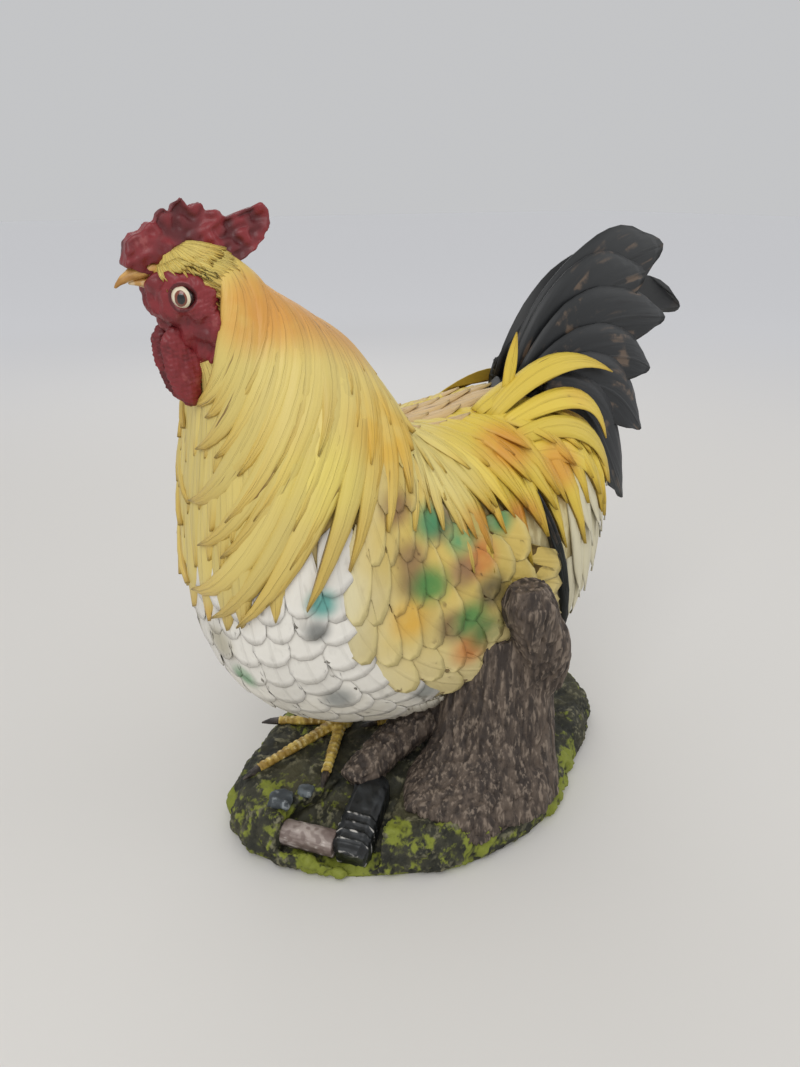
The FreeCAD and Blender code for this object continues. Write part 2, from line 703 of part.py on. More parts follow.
# Rings of the two halves of the beak: distance out, height, half width and half depth, all as shares.
UPPER_BEAK_SHARES = ((-0.5, 0.42, 0.50, 0.34), (0.1, 0.38, 0.50, 0.32), (0.45, 0.32, 0.38, 0.25),
                     (0.8, 0.14, 0.20, 0.17), (1.0, -0.02, 0.06, 0.06))
LOWER_BEAK_SHARES = ((-0.5, -0.30, 0.44, 0.20), (0.1, -0.28, 0.42, 0.18), (0.45, -0.24, 0.30, 0.14),
                     (0.72, -0.20, 0.10, 0.07))


def beak_half(rows):
    rings = []
    for x, z, wide, deep in rows:
        centre_x = mm("beak_x") - x * mm("beak_length")
        centre_z = mm("beak_z") + z * mm("beak_depth")
        rings.append([figure(centre_x, wide * mm("beak_width") * math.cos(turn),
                             centre_z + deep * mm("beak_depth") * math.sin(turn))
                      for turn in [math.pi * k / 4 for k in range(8)]])
    return ring_solid(rings)


def skin_scale(around, along):
    """Millimetres that one unit of around and of along cover at a place on the skin."""
    step = 0.005
    one = skin(around + step, along) - skin(around - step, along)
    other = skin(around, along + step) - skin(around, along - step)
    return one.Length / (2 * step), other.Length / (2 * step)


# Share of the way from the eye opening to the rim, and share of the skin's thickness.
FACE_RINGS_SHARES = (
    (1.0, 0.0), (0.88, 0.8), (0.5, 1.0), (0.12, 1.0), (0.0, 0.7), (0.0, 0.0), (0.33, 0.0), (0.66, 0.0),
)


def build_face(side):
    """Bare red skin round the eye, with an opening for the eyeball."""
    across, up = skin_scale(EYE_AROUND, EYE_ALONG)
    opening = mm("eye_radius") + mm("seat")
    rings = []
    for share, height in FACE_RINGS_SHARES:
        ring = []
        for k in range(FACE_POINTS):
            turn = 2 * math.pi * k / FACE_POINTS
            inner_a = opening / across * math.cos(turn)
            inner_b = opening / up * math.sin(turn)
            outer_a = FACE_AROUND_SHARE * math.cos(turn)
            outer_b = FACE_ALONG_SHARE * math.sin(turn) * (FACE_JAW_SHARE if math.sin(turn) < 0 else 1.0)
            around = EYE_AROUND + inner_a + (outer_a - inner_a) * share
            along = EYE_ALONG + inner_b + (outer_b - inner_b) * share
            ring.append(skin(-side * around, along, mm("seat") + height * mm("face_thickness")))
        rings.append(ring)
    return loop_solid(rings)


def loop_solid(rings):
    """A closed solid like a ring: the last loop of points joins the first again."""
    points = [point for ring in rings for point in ring]
    count = len(rings[0])
    triangles = []
    for j in range(len(rings)):
        i = j * count
        n = ((j + 1) % len(rings)) * count
        for k in range(count):
            m = (k + 1) % count
            triangles.append((i + k, i + m, n + m))
            triangles.append((i + k, n + m, n + k))
    return facet_solid(points, triangles)


# Rings of a wattle: way down, shift forward in widths, half width and half thickness, all as shares.
WATTLE_SHARES = ((0.0, 0.0, 0.30, 0.36), (0.18, 0.02, 0.52, 0.46), (0.42, 0.02, 0.46, 0.50), (0.62, 0.02, 0.40, 0.48),
                 (0.82, 0.0, 0.34, 0.44), (0.95, -0.02, 0.18, 0.28), (1.0, -0.02, 0.06, 0.10))


def build_wattle(side):
    rings = []
    for down, shift, wide, thick in WATTLE_SHARES:
        rings.append([figure(mm("wattle_x") - shift * mm("wattle_width")
                             + wide * mm("wattle_width") * math.cos(turn),
                             side * mm("wattle_spread") + thick * mm("wattle_thickness") * math.sin(turn),
                             mm("wattle_z") - down * mm("wattle_length"))
                      for turn in [math.pi * k / 4 for k in range(8)]])
    return ring_solid(rings)


def build_eye(side):
    """The eyeball, as the low dome that shows between the lids."""
    centre = skin(-side * EYE_AROUND, EYE_ALONG, mm("seat"))
    outward = (skin(-side * EYE_AROUND, EYE_ALONG, mm("wall")) - centre).normalize()
    level = outward.cross(V(0, 0, 1)).normalize()
    upright = level.cross(outward)
    height = mm("face_thickness") + mm("eye_bulge")
    rings = []
    for up, size in EYE_SHARES:
        radius = mm("eye_radius") * size
        rings.append([centre + outward * (height * up) + level * (radius * math.cos(turn))
                      + upright * (radius * math.sin(turn)) for turn in [math.pi * k / 6 for k in range(12)]])
    return ring_solid(rings)


# Toes: turn from straight ahead in degrees, towards the left, and length share.
TOE_SHARES = ((-32.0, 0.62), (13.0, 1.0), (51.0, 0.78), (-150.0, 0.34))
TOE_RINGS = 6
TOE_TAPER_SHARE = 0.28
SCUTE_SHARE = 0.9
CLAW_SHARES = ((0.0, 0.62), (0.5, 0.5), (1.0, 0.15))
TOE_SECTION_SHARES = ((-0.7, 0.0), (0.7, 0.0), (1.0, 0.7), (0.6, 1.5), (-0.6, 1.5), (-1.0, 0.7))


def toe(x, y, turn, length):
    """A toe with raised scutes, flat where it lies on the ground."""
    ahead = V(-math.cos(math.radians(turn)), -math.sin(math.radians(turn)), 0)
    side = V(-ahead.y, ahead.x, 0)
    rings = []
    for k in range(TOE_RINGS):
        t = k / (TOE_RINGS - 1)
        radius = mm("toe_radius") * (1 - TOE_TAPER_SHARE * t) * (1.0 if k % 2 else SCUTE_SHARE)
        centre = V(x, y, mm("ground")) + ahead * (length * t)
        rings.append([centre + side * (radius * a) + V(0, 0, radius * b) for a, b in TOE_SECTION_SHARES])
    return ring_solid(rings)


def claw(x, y, turn, length):
    ahead = V(-math.cos(math.radians(turn)), -math.sin(math.radians(turn)), 0)
    side = V(-ahead.y, ahead.x, 0)
    rings = []
    for t, size in CLAW_SHARES:
        radius = mm("toe_radius") * size
        centre = V(x, y, mm("ground")) + ahead * (length + mm("claw_length") * t)
        rings.append([centre + side * (radius * a) + V(0, 0, radius * b) for a, b in TOE_SECTION_SHARES])
    return ring_solid(rings)


def leg_place(side):
    x = mm("right_leg_x") if side > 0 else mm("left_leg_x")
    return x, mm("figure_offset") + side * mm("leg_spread")


def rod_bore(side):
    """The hole that the leg's rod stands in."""
    x, y = leg_place(side)
    foot = V(x, y, mm("ground") - mm("rod_depth") - mm("bore_clearance"))
    return bar_bore(mm("rod_radius") + mm("bore_clearance"), mm("rod_length") + 2 * mm("bore_clearance"),
                    FreeCAD.Placement(foot, FreeCAD.Rotation()))


def build_foot(side):
    x, y = leg_place(side)
    toes = [toe(x, y, side * turn, mm("toe_length") * share) for turn, share in TOE_SHARES]
    radius = mm("shank_radius")
    ankle = ring_solid([lobed_ring(x, y, mm("ground") + mm("ankle_height") * up, radius * wide, radius * wide, 10, 2, 0, 0)
                        for up, wide in ((0, 1.1), (0.5, 1.15), (1.0, 1.0))])
    return largest(ankle.multiFuse(toes).cut(rod_bore(side)))


def build_claws(side):
    x, y = leg_place(side)
    return Part.makeCompound([claw(x, y, side * turn, mm("toe_length") * share) for turn, share in TOE_SHARES])


LEG_SHARES = (1.0, 1.13, 1.12, 1.30, 1.30)


def build_leg(side):
    x, y = leg_place(side)
    low = mm("ground") + mm("ankle_height")
    radius = mm("shank_radius")
    rings = []
    for k, swell in enumerate(LEG_SHARES):
        wide = radius * swell
        rings.append(lobed_ring(x, y, low + mm("leg_reach") * k / (len(LEG_SHARES) - 1), wide, wide, 8, 2, 0, 0))
    return largest(ring_solid(rings).cut(CORE).cut(rod_bore(side)))


CORE = build_core()
HACKLE_ROWS = (
    ("hackle_lower", 0.0, 0.15, 20, 0.5), ("hackle_middle", 0.10, 0.15, 18, 0.0), ("hackle_upper", 0.20, 0.13, 14, 0.5),
)
LEAST_HACKLE_SHARE = 0.6
DOWEL_FOOT = V(mm("tail_x") - mm("dowel_length") / 2, mm("figure_offset"), mm("tail_z") - mm("dowel_length") / 5)
DOWEL_PLACE = FreeCAD.Placement(DOWEL_FOOT, FreeCAD.Rotation(V(0, 0, 1), V(1, 0, DOWEL_RISE_SHARE)))


def bore_dowel():
    return bar_bore(mm("dowel_radius") + mm("bore_clearance"), mm("dowel_length") + mm("bore_clearance"), DOWEL_PLACE)


def add_group(name, solids):
    add_part(name, Part.makeCompound(solids))


BASE = build_base()
for side in (-1, 1):
    BASE = BASE.cut(rod_bore(side))
add_part("base", BASE)

SHELL = CORE.cut(build_cavity())
for side in (-1, 1):
    SHELL = SHELL.cut(rod_bore(side))
SHELL = SHELL.cut(bore_dowel())
add_part("body_shell", SHELL)


def one_side(place, side):
    return place if side < 0 else mirrored(place)


def wing_coverts(side, rooted=False):
    feathers = []
    for row in range(5):
        first, last = [mark - WING_STEP_SHARE * row for mark in WING_MARK_SHARES]
        marks = spread(first, last, 3 + row % 2)
        half = (marks[1] - marks[0]) / 2
        feathers.extend(feather_row(one_side(wing_place(row), side), marks, half, SCALE_PROFILE_SHARES,
                                    mm("wing_thickness"), ROW_PITCH_SHARE, rooted=rooted))
    return feathers


def wing_primaries(side, rooted=False):
    return feather_row(one_side(primary_place, side), spread(*PRIMARY_MARK_SHARES, 5), PRIMARY_HALF_SHARE,
                       HACKLE_PROFILE_SHARES, mm("wing_thickness"), ROW_PITCH_SHARE, rooted=rooted)


def belly_hem(side, rooted=False):
    return feather_row(one_side(hem_place, side), spread(*HEM_MARK_SHARES, 8), HEM_HALF_SHARE, SCALE_PROFILE_SHARES,
                       mm("breast_thickness"), ROW_PITCH_SHARE, rooted=rooted)


def near(shape, solids):
    """Those of the solids whose boxes meet the shape's box, as one compound."""
    return Part.makeCompound([solid for solid in solids if solid.BoundBox.intersect(shape.BoundBox)])


def cut_clear(shape, solids):
    """The shape without the solids that come near it."""
    neighbours = near(shape, solids)
    return largest(shape.cut(neighbours)) if neighbours.Solids else shape


FLANK = wing_coverts(-1, True) + wing_primaries(-1, True) + belly_hem(-1, True)
STUMP = cut_clear(largest(build_stump().cut(BASE).cut(CORE)), FLANK)
add_part("stump", STUMP)
SNAG = cut_clear(largest(build_snag().cut(STUMP).cut(CORE)), FLANK)
add_part("branch_stub", SNAG)
ROOT = cut_clear(largest(build_root().cut(BASE).cut(STUMP).cut(CORE)), FLANK)
add_part("arched_root", ROOT)

HAFT_PLACE = hatchet_frame(0, mm("hatchet_height") / 2, mm("haft_radius") + mm("seat")).multiply(
    FreeCAD.Placement(V(), FreeCAD.Rotation(V(0, 0, 1), V(0, 1, 0))))
add_bar("hatchet_haft", HAFT_SIDES, "haft_radius", "haft_length", HAFT_PLACE)

add_part("hatchet_head", largest(build_hatchet_head().cut(ROOT).cut(STUMP).cut(BASE)))
STONES = [largest(stone.cut(BASE)) for stone in build_stones()]
add_group("stones", STONES)

UPPER_BEAK = largest(beak_half(UPPER_BEAK_SHARES).cut(CORE))
add_part("beak_upper", UPPER_BEAK)
add_part("beak_lower", largest(beak_half(LOWER_BEAK_SHARES).cut(CORE).cut(UPPER_BEAK)))

HACKLES = {}
for name, shift, reach, count, offset in HACKLE_ROWS:
    marks = [(k + offset) / count for k in range(count)]
    marks = [mark for mark in marks if hackle_reach(mark, shift, reach) > LEAST_HACKLE_SHARE * reach]
    HACKLES[name] = feather_row(hackle_place(shift, reach), marks, 0.5 / count, HACKLE_PROFILE_SHARES,
                                mm("hackle_thickness"), ROW_PITCH_SHARE)
    add_group(name, HACKLES[name])
NECK = HACKLES["hackle_middle"] + HACKLES["hackle_upper"]

add_part("comb", cut_clear(build_comb().cut(UPPER_BEAK), NECK))
for side, word in ((-1, "left"), (1, "right")):
    face = cut_clear(build_face(side), NECK)
    add_part("face_" + word, face)
    add_part("eye_" + word, build_eye(side))
    add_part("wattle_" + word, cut_clear(largest(build_wattle(side).cut(CORE).cut(face)), NECK))
    add_part("foot_" + word, build_foot(side))
    add_part("claws_" + word, build_claws(side).cut(STUMP).cut(Part.makeCompound(STONES)))
    add_part("leg_" + word, build_leg(side))
    x, y = leg_place(side)
    add_bar("leg_rod_" + word, BAR_SIDES, "rod_radius", "rod_length",
            FreeCAD.Placement(V(x, y, mm("ground") - mm("rod_depth")), FreeCAD.Rotation()))

add_bar("tail_dowel", BAR_SIDES, "dowel_radius", "dowel_length", DOWEL_PLACE)


def saddle(side, shares, marks, half, base):
    return feather_row(one_side(saddle_place(*shares), side), marks, half, HACKLE_PROFILE_SHARES,
                       mm("saddle_thickness"), ROW_PITCH_SHARE, base)


RIDGE = []
for row in range(3):
    RIDGE.extend(feather_row(back_place(row), spread(*RIDGE_MARK_SHARES, 3), RIDGE_HALF_SHARE,
                             HACKLE_PROFILE_SHARES, mm("saddle_thickness"), ROW_PITCH_SHARE))
add_group("back_ridge", RIDGE)
LOWER_SADDLE = {}
UPPER_SADDLE = {}
for side in (-1, 1):
    LOWER_SADDLE[side] = saddle(side, LOWER_SADDLE_SHARES, spread(*LOWER_SADDLE_MARK_SHARES, 8),
                                LOWER_SADDLE_HALF_SHARE, 0.0)
    UPPER_SADDLE[side] = saddle(side, UPPER_SADDLE_SHARES, spread(*UPPER_SADDLE_MARK_SHARES, 7),
                                UPPER_SADDLE_HALF_SHARE, mm("row_clearance"))
RUMP = RIDGE + UPPER_SADDLE[-1] + UPPER_SADDLE[1] + LOWER_SADDLE[-1] + LOWER_SADDLE[1]
TAIL_CORE = cut_clear(largest(build_tail_core().cut(CORE).cut(bore_dowel())), RUMP)
add_part("tail_core", TAIL_CORE)

for row, reach in enumerate(BREAST_REACH_SHARES):
    count = 12 - row % 2
    add_group("breast_row_%d" % (row + 1), feather_row(breast_place(row), spread(-reach, reach, count),
              reach / (count - 1), SCALE_PROFILE_SHARES, mm("breast_thickness"), ROW_PITCH_SHARE))

for side, word in ((-1, "left"), (1, "right")):
    feathers = []
    for layer, row in enumerate(TAIL_SHARES):
        shape = SICKLE_SHARES if side > 0 and layer == 0 else row
        feathers.append(cut_clear(largest(tail_feather(layer, side, shape).cut(TAIL_CORE).cut(CORE)), RUMP))
    add_group("tail_feathers_" + word, feathers)
    add_group("belly_hem_" + word, belly_hem(side))
    add_group("wing_coverts_" + word, wing_coverts(side))
    add_group("wing_primaries_" + word, wing_primaries(side))
    add_group("saddle_lower_" + word, LOWER_SADDLE[side])
    add_group("saddle_upper_" + word, UPPER_SADDLE[side])
    fluff = []
    for row in range(3):
        fluff.extend(feather_row(one_side(fluff_place(row), side), spread(*FLUFF_MARK_SHARES, 5),
                                 FLUFF_HALF_SHARE, SCALE_PROFILE_SHARES, mm("saddle_thickness"), ROW_PITCH_SHARE))
    add_group("fluff_" + word, fluff)


def export_parts():
    """Check every object and write one file for each piece."""
    DOC.recompute()
    os.makedirs("parts", exist_ok=True)
    for item in DOC.Objects:
        if "Invalid" in item.State or "Error" in item.State:
            raise RuntimeError("%s failed to compute" % item.Label)
    for part in PARTS:
        if part.Shape.isNull() or not part.Shape.isValid():
            raise RuntimeError("%s has no valid shape" % part.Label)
        part.Shape.exportStep("parts/%s.step" % part.Label)
        print("%-24s %2d solids %9.0f mm3" % (part.Label, len(part.Shape.Solids), part.Shape.Volume))


export_parts()
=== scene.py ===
import bpy
import bmesh
import math
import random
import numpy as np
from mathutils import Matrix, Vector


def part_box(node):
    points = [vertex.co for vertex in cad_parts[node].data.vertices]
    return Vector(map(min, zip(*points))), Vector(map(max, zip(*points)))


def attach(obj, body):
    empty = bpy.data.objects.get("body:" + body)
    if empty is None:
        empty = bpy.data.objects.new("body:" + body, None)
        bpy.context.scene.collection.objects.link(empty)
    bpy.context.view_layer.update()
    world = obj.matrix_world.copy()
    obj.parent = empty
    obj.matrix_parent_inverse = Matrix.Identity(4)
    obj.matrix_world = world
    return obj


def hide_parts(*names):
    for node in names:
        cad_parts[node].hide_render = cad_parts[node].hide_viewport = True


# A painted cast-resin rooster on a mossy base: feathers, skin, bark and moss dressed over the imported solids.
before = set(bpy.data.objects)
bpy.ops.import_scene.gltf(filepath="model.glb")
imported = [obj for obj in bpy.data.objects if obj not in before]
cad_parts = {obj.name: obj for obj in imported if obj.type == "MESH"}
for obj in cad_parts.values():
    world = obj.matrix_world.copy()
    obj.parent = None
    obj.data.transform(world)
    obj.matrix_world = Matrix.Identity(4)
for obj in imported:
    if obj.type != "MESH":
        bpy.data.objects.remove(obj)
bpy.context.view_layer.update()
RANDOM = random.Random(7)
chance = RANDOM.uniform
SIDES = ((-1, "left"), (1, "right"))


def share(value):
    return np.clip(value, 0, 1)


# ---- the bird's skin, over the same stations as the solids ----
# A place on the skin is (around, along). Around is 0 on the breast, 0.25 on the left and 0.5 on the back, and along
# runs from 0 at the rump to 1 on the crown. Lengths are metres, unless a comment says millimetres.
FIGURE = 0.400          # what one unit of a station is long
BODY_WIDTH = 0.176
MIDDLE_Y = 0.020        # the bird's middle plane
ROUNDNESS = 0.9         # a section of the body is an ellipse at 1 and boxier below it
NORMAL_STEP = 0.012
# Back x and z, front x and z, half width, and how far from front to back the widest line lies.
STATIONS = np.array([
    (0.375, 0.560, 0.325, 0.400, 0.12, 0.50), (0.345, 0.640, 0.290, 0.285, 0.29, 0.48),
    (0.262, 0.695, 0.225, 0.215, 0.41, 0.47), (0.150, 0.705, 0.140, 0.180, 0.48, 0.47),
    (0.030, 0.692, 0.010, 0.165, 0.50, 0.47), (-0.055, 0.690, -0.110, 0.165, 0.50, 0.48),
    (-0.085, 0.715, -0.250, 0.200, 0.47, 0.50), (-0.110, 0.760, -0.360, 0.295, 0.44, 0.52),
    (-0.140, 0.800, -0.402, 0.415, 0.41, 0.52), (-0.172, 0.838, -0.406, 0.540, 0.37, 0.50),
    (-0.212, 0.868, -0.395, 0.650, 0.31, 0.48), (-0.250, 0.895, -0.380, 0.745, 0.24, 0.46),
    (-0.285, 0.922, -0.380, 0.815, 0.185, 0.46), (-0.312, 0.950, -0.410, 0.870, 0.155, 0.48),
    (-0.338, 0.972, -0.435, 0.920, 0.135, 0.50), (-0.368, 0.982, -0.430, 0.955, 0.085, 0.50)])
KNOTS = np.array([0, .078, .156, .24, .343, .427, .503, .584, .656, .725, .788, .846, .893, .935, .972, 1.0])


def spline_slopes(knots, rows):
    """Slopes of the smooth curve through the stations."""
    count = len(knots)
    matrix = np.zeros((count, count))
    right = np.zeros((count, rows.shape[1]))
    step = np.diff(knots)
    rise = np.diff(rows, axis=0) / step[:, None]
    matrix[0, 0], matrix[0, 1], right[0] = 2, 1, 3 * rise[0]
    matrix[-1, -1], matrix[-1, -2], right[-1] = 2, 1, 3 * rise[-1]
    for k in range(1, count - 1):
        matrix[k, k - 1], matrix[k, k + 1] = 1 / step[k - 1], 1 / step[k]
        matrix[k, k] = 2 * (1 / step[k - 1] + 1 / step[k])
        right[k] = 3 * (rise[k - 1] / step[k - 1] + rise[k] / step[k])
    return np.linalg.solve(matrix, right)


SLOPES = spline_slopes(KNOTS, STATIONS)


def skin_point(around, along):
    """Points on the skin itself."""
    along = share(along)
    k = np.clip(np.searchsorted(KNOTS, along, side="right") - 1, 0, len(KNOTS) - 2)
    step = (KNOTS[k + 1] - KNOTS[k])[..., None]
    u = (along - KNOTS[k])[..., None] / step
    row = ((1 + 2 * u) * (1 - u) ** 2 * STATIONS[k] + u * (1 - u) ** 2 * step * SLOPES[k]
           + u * u * (3 - 2 * u) * STATIONS[k + 1] - u * u * (1 - u) * step * SLOPES[k + 1])
    turn = 2 * np.pi * around
    up, out = np.cos(turn), np.sin(turn)
    up = np.sign(up) * np.abs(up) ** ROUNDNESS
    out = np.sign(out) * np.abs(out) ** ROUNDNESS
    back_x, back_z, front_x, front_z, half, wide = np.moveaxis(row, -1, 0)
    middle_x, middle_z = front_x + (back_x - front_x) * wide, front_z + (back_z - front_z) * wide
    end_x, end_z = np.where(up >= 0, front_x, back_x), np.where(up >= 0, front_z, back_z)
    x = (middle_x + (end_x - middle_x) * np.abs(up)) * FIGURE
    z = (middle_z + (end_z - middle_z) * np.abs(up)) * FIGURE
    return np.stack([x, MIDDLE_Y - half * BODY_WIDTH * out, z], axis=-1)


def skin(around, along, height):
    """Points at a height over the skin."""
    around, along = np.asarray(around, float), np.asarray(along, float)
    low, high = share(along - NORMAL_STEP), share(along + NORMAL_STEP)
    across = skin_point(around + NORMAL_STEP, along) - skin_point(around - NORMAL_STEP, along)
    upward = skin_point(around, high) - skin_point(around, low)
    normal = np.cross(across, upward)
    normal /= np.linalg.norm(normal, axis=-1, keepdims=True) + 1e-12
    return skin_point(around, along) + normal * np.asarray(height)[..., None]


# ---- materials ----
def srgb(code):
    """A hex colour as the linear numbers that a shader reads."""
    parts = [int(code[k:k + 2], 16) / 255 for k in (1, 3, 5)]
    return tuple(c / 12.92 if c <= 0.04045 else ((c + 0.055) / 1.055) ** 2.4 for c in parts) + (1.0,)


def add(tree, kind, links=(), **settings):
    """One node with its settings; links are pairs of an input and a value or another node's output."""
    node = tree.nodes.new(kind)
    for key, value in settings.items():
        setattr(node, key, value)
    for slot, value in links:
        if isinstance(value, bpy.types.NodeSocket):
            tree.links.new(value, node.inputs[slot])
        else:
            node.inputs[slot].default_value = value
    return node


class Paint:
    """A material while it is painted: its nodes, its shader, its Object coordinates and the colour so far."""

    def __init__(self, name, roughness, colour, **fixed):
        self.material = bpy.data.materials.new(name)
        self.material.use_nodes = True
        self.tree = self.material.node_tree
        self.shader = self.tree.nodes["Principled BSDF"]
        self.shader.inputs["Roughness"].default_value = roughness
        for key, value in fixed.items():
            self.shader.inputs[key.replace("_", " ")].default_value = value
        self.place = add(self.tree, "ShaderNodeTexCoord").outputs["Object"]
        self.colour = srgb(colour)

    def attribute(self, name):
        return add(self.tree, "ShaderNodeAttribute", attribute_name=name).outputs["Fac"]

    def maths(self, operation, *values):
        return add(self.tree, "ShaderNodeMath", enumerate(values), operation=operation).outputs[0]

    def times(self, first, second):
        return self.maths("MULTIPLY", first, second)

    def vector(self, operation, *values, output="Value"):
        return add(self.tree, "ShaderNodeVectorMath", enumerate(values), operation=operation).outputs[output]

    def ramp(self, value, low, high, to_low=0.0, to_high=1.0):
        """A value carried smoothly from one span to another."""
        return add(self.tree, "ShaderNodeMapRange", enumerate((value, low, high, to_low, to_high)),
                   interpolation_type="SMOOTHSTEP").outputs[0]

    def grain(self, size, detail=3.0, stretch=(1, 1, 1)):
        """Noise whose blotches are size millimetres across, longer along the stretched ways."""
        scaled = add(self.tree, "ShaderNodeMapping",
                     (("Vector", self.place), ("Scale", tuple(1 / s for s in stretch)))).outputs[0]
        return add(self.tree, "ShaderNodeTexNoise", (("Vector", scaled), ("Scale", 500.0 / size), ("Detail", detail),
                                                     ("Roughness", 0.55))).outputs["Fac"]

    def mix(self, part, first, second, mode="MIX"):
        """Two colours mixed by a part of the second, which may be an output or a number."""
        return add(self.tree, "ShaderNodeMix", ((0, part), (6, first), (7, second)), data_type="RGBA",
                   blend_type=mode).outputs[2]

    def coat(self, code, *shares):
        """Lays a hex colour over the colour so far, by the product of the shares."""
        part = shares[0]
        for other in shares[1:]:
            part = self.times(part, other)
        self.colour = self.mix(part, self.colour, srgb(code))

    def done(self, height=None, depth=0.0):
        """The finished material, with a bump of a real depth in millimetres if there is a height."""
        self.tree.links.new(self.colour, self.shader.inputs["Base Color"])
        if height:
            bump = add(self.tree, "ShaderNodeBump",
                       (("Height", height), ("Distance", depth / 1000), ("Strength", 1.0)))
            self.tree.links.new(bump.outputs[0], self.shader.inputs["Normal"])
        return self.material


def feather_paint(name, base, zones, line, spots=(), barb=0.9, brushed=None, pale=None, groove=0.30, under=0.85):
    """Acrylic airbrushed on cast resin and wiped back.

    The eye sees colours that drift over the whole bird, dark wash with painted shade in the grooves, painted shade
    along each outline and under each tip, rubbed ridges, and airbrushed patches that ignore the feathers.

    zones: a way, its start and end in millimetres, and the colour that it ends in.
    line: the dark colour, by groove for wash and painted shade in the grooves and by under for painted shade below
    tips.
    spots: around, along, radius in millimetres and colour of each airbrushed patch.
    barb: how steeply the grooves leave the shaft. brushed and pale: colours on the ridges and towards the tips.
    """
    work = Paint(name, 0.5, base, Coat_Weight=0.12, Coat_Roughness=0.35)
    ramp, grain, times, maths, coat = work.ramp, work.grain, work.times, work.maths, work.coat
    uv = add(work.tree, "ShaderNodeUVMap", uv_map="feather").outputs[0]
    across, down = add(work.tree, "ShaderNodeSeparateXYZ", ((0, uv),)).outputs[:2]
    tone, depth = work.attribute("tone"), work.attribute("depth")
    aside = maths("ABSOLUTE", times(maths("SUBTRACT", across, 0.5), 2.0))
    drift = times(maths("SUBTRACT", grain(30), 0.5), 0.05)
    for way, start, end, code in zones:
        coat(code, ramp(maths("ADD", work.vector("DOT_PRODUCT", work.place, way), drift), start / 1000, end / 1000))
    # Towards the tips: paler on the cream, wing, back and fluff feathers, a painted highlight, and orange on the neck
    # and saddle.
    if pale:
        coat(pale, ramp(down, 0.65, 0.98, 0, 0.55))
    mist = ramp(grain(14), 0.25, 0.5, 0.45, 1.0)
    for around, along, radius, code in spots:
        far = work.vector("DISTANCE", work.place, tuple(skin(around, along, 0.003)))
        coat(code, ramp(far, radius / 3600, radius / 850, 0.88, 0.0), mist)
    # Barbs about 1 mm apart, drawn as grooves that run out and down from the shaft.
    slant = maths("SUBTRACT", down, times(aside, barb))
    comb = add(work.tree, "ShaderNodeCombineXYZ",
               enumerate((times(across, 5.0), times(slant, 3.2), times(tone, 40.0)))).outputs[0]
    barbs = add(work.tree, "ShaderNodeTexNoise", (("Vector", comb), ("Scale", 1.0), ("Detail", 2.5))).outputs["Fac"]
    # Dark wash with painted shade in the grooves, darker still in patches.
    coat(line, ramp(barbs, 0.58, 0.72, 0, groove))
    coat(line, ramp(barbs, 0.66, 0.71), ramp(grain(18), 0.50, 0.58), 0.75)
    if brushed:
        coat(brushed, ramp(barbs, 0.50, 0.36), ramp(grain(9, 5), 0.50, 0.62), 0.7)
    # Painted shade: each feather's outline, side walls and underside are darkened for the shadow under its tip, with
    # some dark wash.
    rim = maths("MAXIMUM", ramp(aside, 0.93, 1.0), ramp(down, 0.965, 1.0))
    coat(line, maths("MAXIMUM", times(rim, 0.30), ramp(depth, 0.75, 0.15, 0, under)))
    shaft = ramp(aside, 0.08, 0.02)
    coat(line, shaft, groove * 0.5)
    # No two feathers have quite the same tone.
    level = ramp(tone, 0.0, 1.0, 0.92, 1.04)
    grey = add(work.tree, "ShaderNodeCombineColor", enumerate((level, level, level))).outputs[0]
    work.colour = work.mix(1.0, work.colour, grey, "MULTIPLY")
    return work.done(maths("ADD", barbs, times(shaft, 0.3)), 0.9)


def flesh_paint(name, base, low, worn, size):
    """Satin red acrylic over cast skin: darker in the folds, rubbed pink on the high spots, pimpled."""
    work = Paint(name, 0.48, low, Coat_Weight=0.08, Coat_Roughness=0.3)
    folds = work.attribute("fold")
    work.coat(base, work.ramp(work.grain(size), 0.30, 0.58, 0.4, 1.0))
    work.coat(low, work.ramp(folds, 0.52, 0.10, 0, 0.9))
    work.coat(worn, work.ramp(work.grain(4, 6), 0.56, 0.68), work.ramp(folds, 0.45, 0.9), 0.35)
    return work.done(work.grain(1.3), 0.35)


def ground_paint(name, dark, mid, pale, moss, wet):
    """Cast earth and moss: olive wash over grey stone texture, yellow-green dry-brushed on the moss."""
    work = Paint(name, 0.72, dark)
    height = work.attribute("fold")
    work.coat(mid, work.ramp(work.grain(7, 6), 0.35, 0.65))
    work.coat(wet, work.ramp(work.grain(22, 4), 0.5, 0.7, 0, 0.7))
    work.coat(pale, work.ramp(height, 0.5, 0.9), work.ramp(work.grain(2.5, 4), 0.45, 0.62))
    tufts = work.maths("ADD", work.attribute("moss"), work.times(work.grain(3.5, 6), 1.5))
    work.coat(moss, work.ramp(tufts, 1.05, 1.25, 0, 0.85), work.ramp(height, 0.2, 0.6))
    return work.done(work.grain(1.6, 5), 0.9)


def streaked_paint(name, dark, mid, pale, size, stretch, depth, roughness):
    """Bark, haft and horn: cast grain with dark paint wiped into it and the ridges dry-brushed."""
    work = Paint(name, roughness, dark)
    fold = work.attribute("fold")
    lines = work.grain(size, 5, stretch)
    work.coat(mid, work.ramp(lines, 0.38, 0.62))
    work.coat(dark, work.ramp(fold, 0.42, 0.05, 0, 0.75))
    work.coat(pale, work.ramp(fold, 0.75, 1.0), work.ramp(work.grain(size / 2, 4, stretch), 0.48, 0.62), 0.75)
    return work.done(lines, depth)


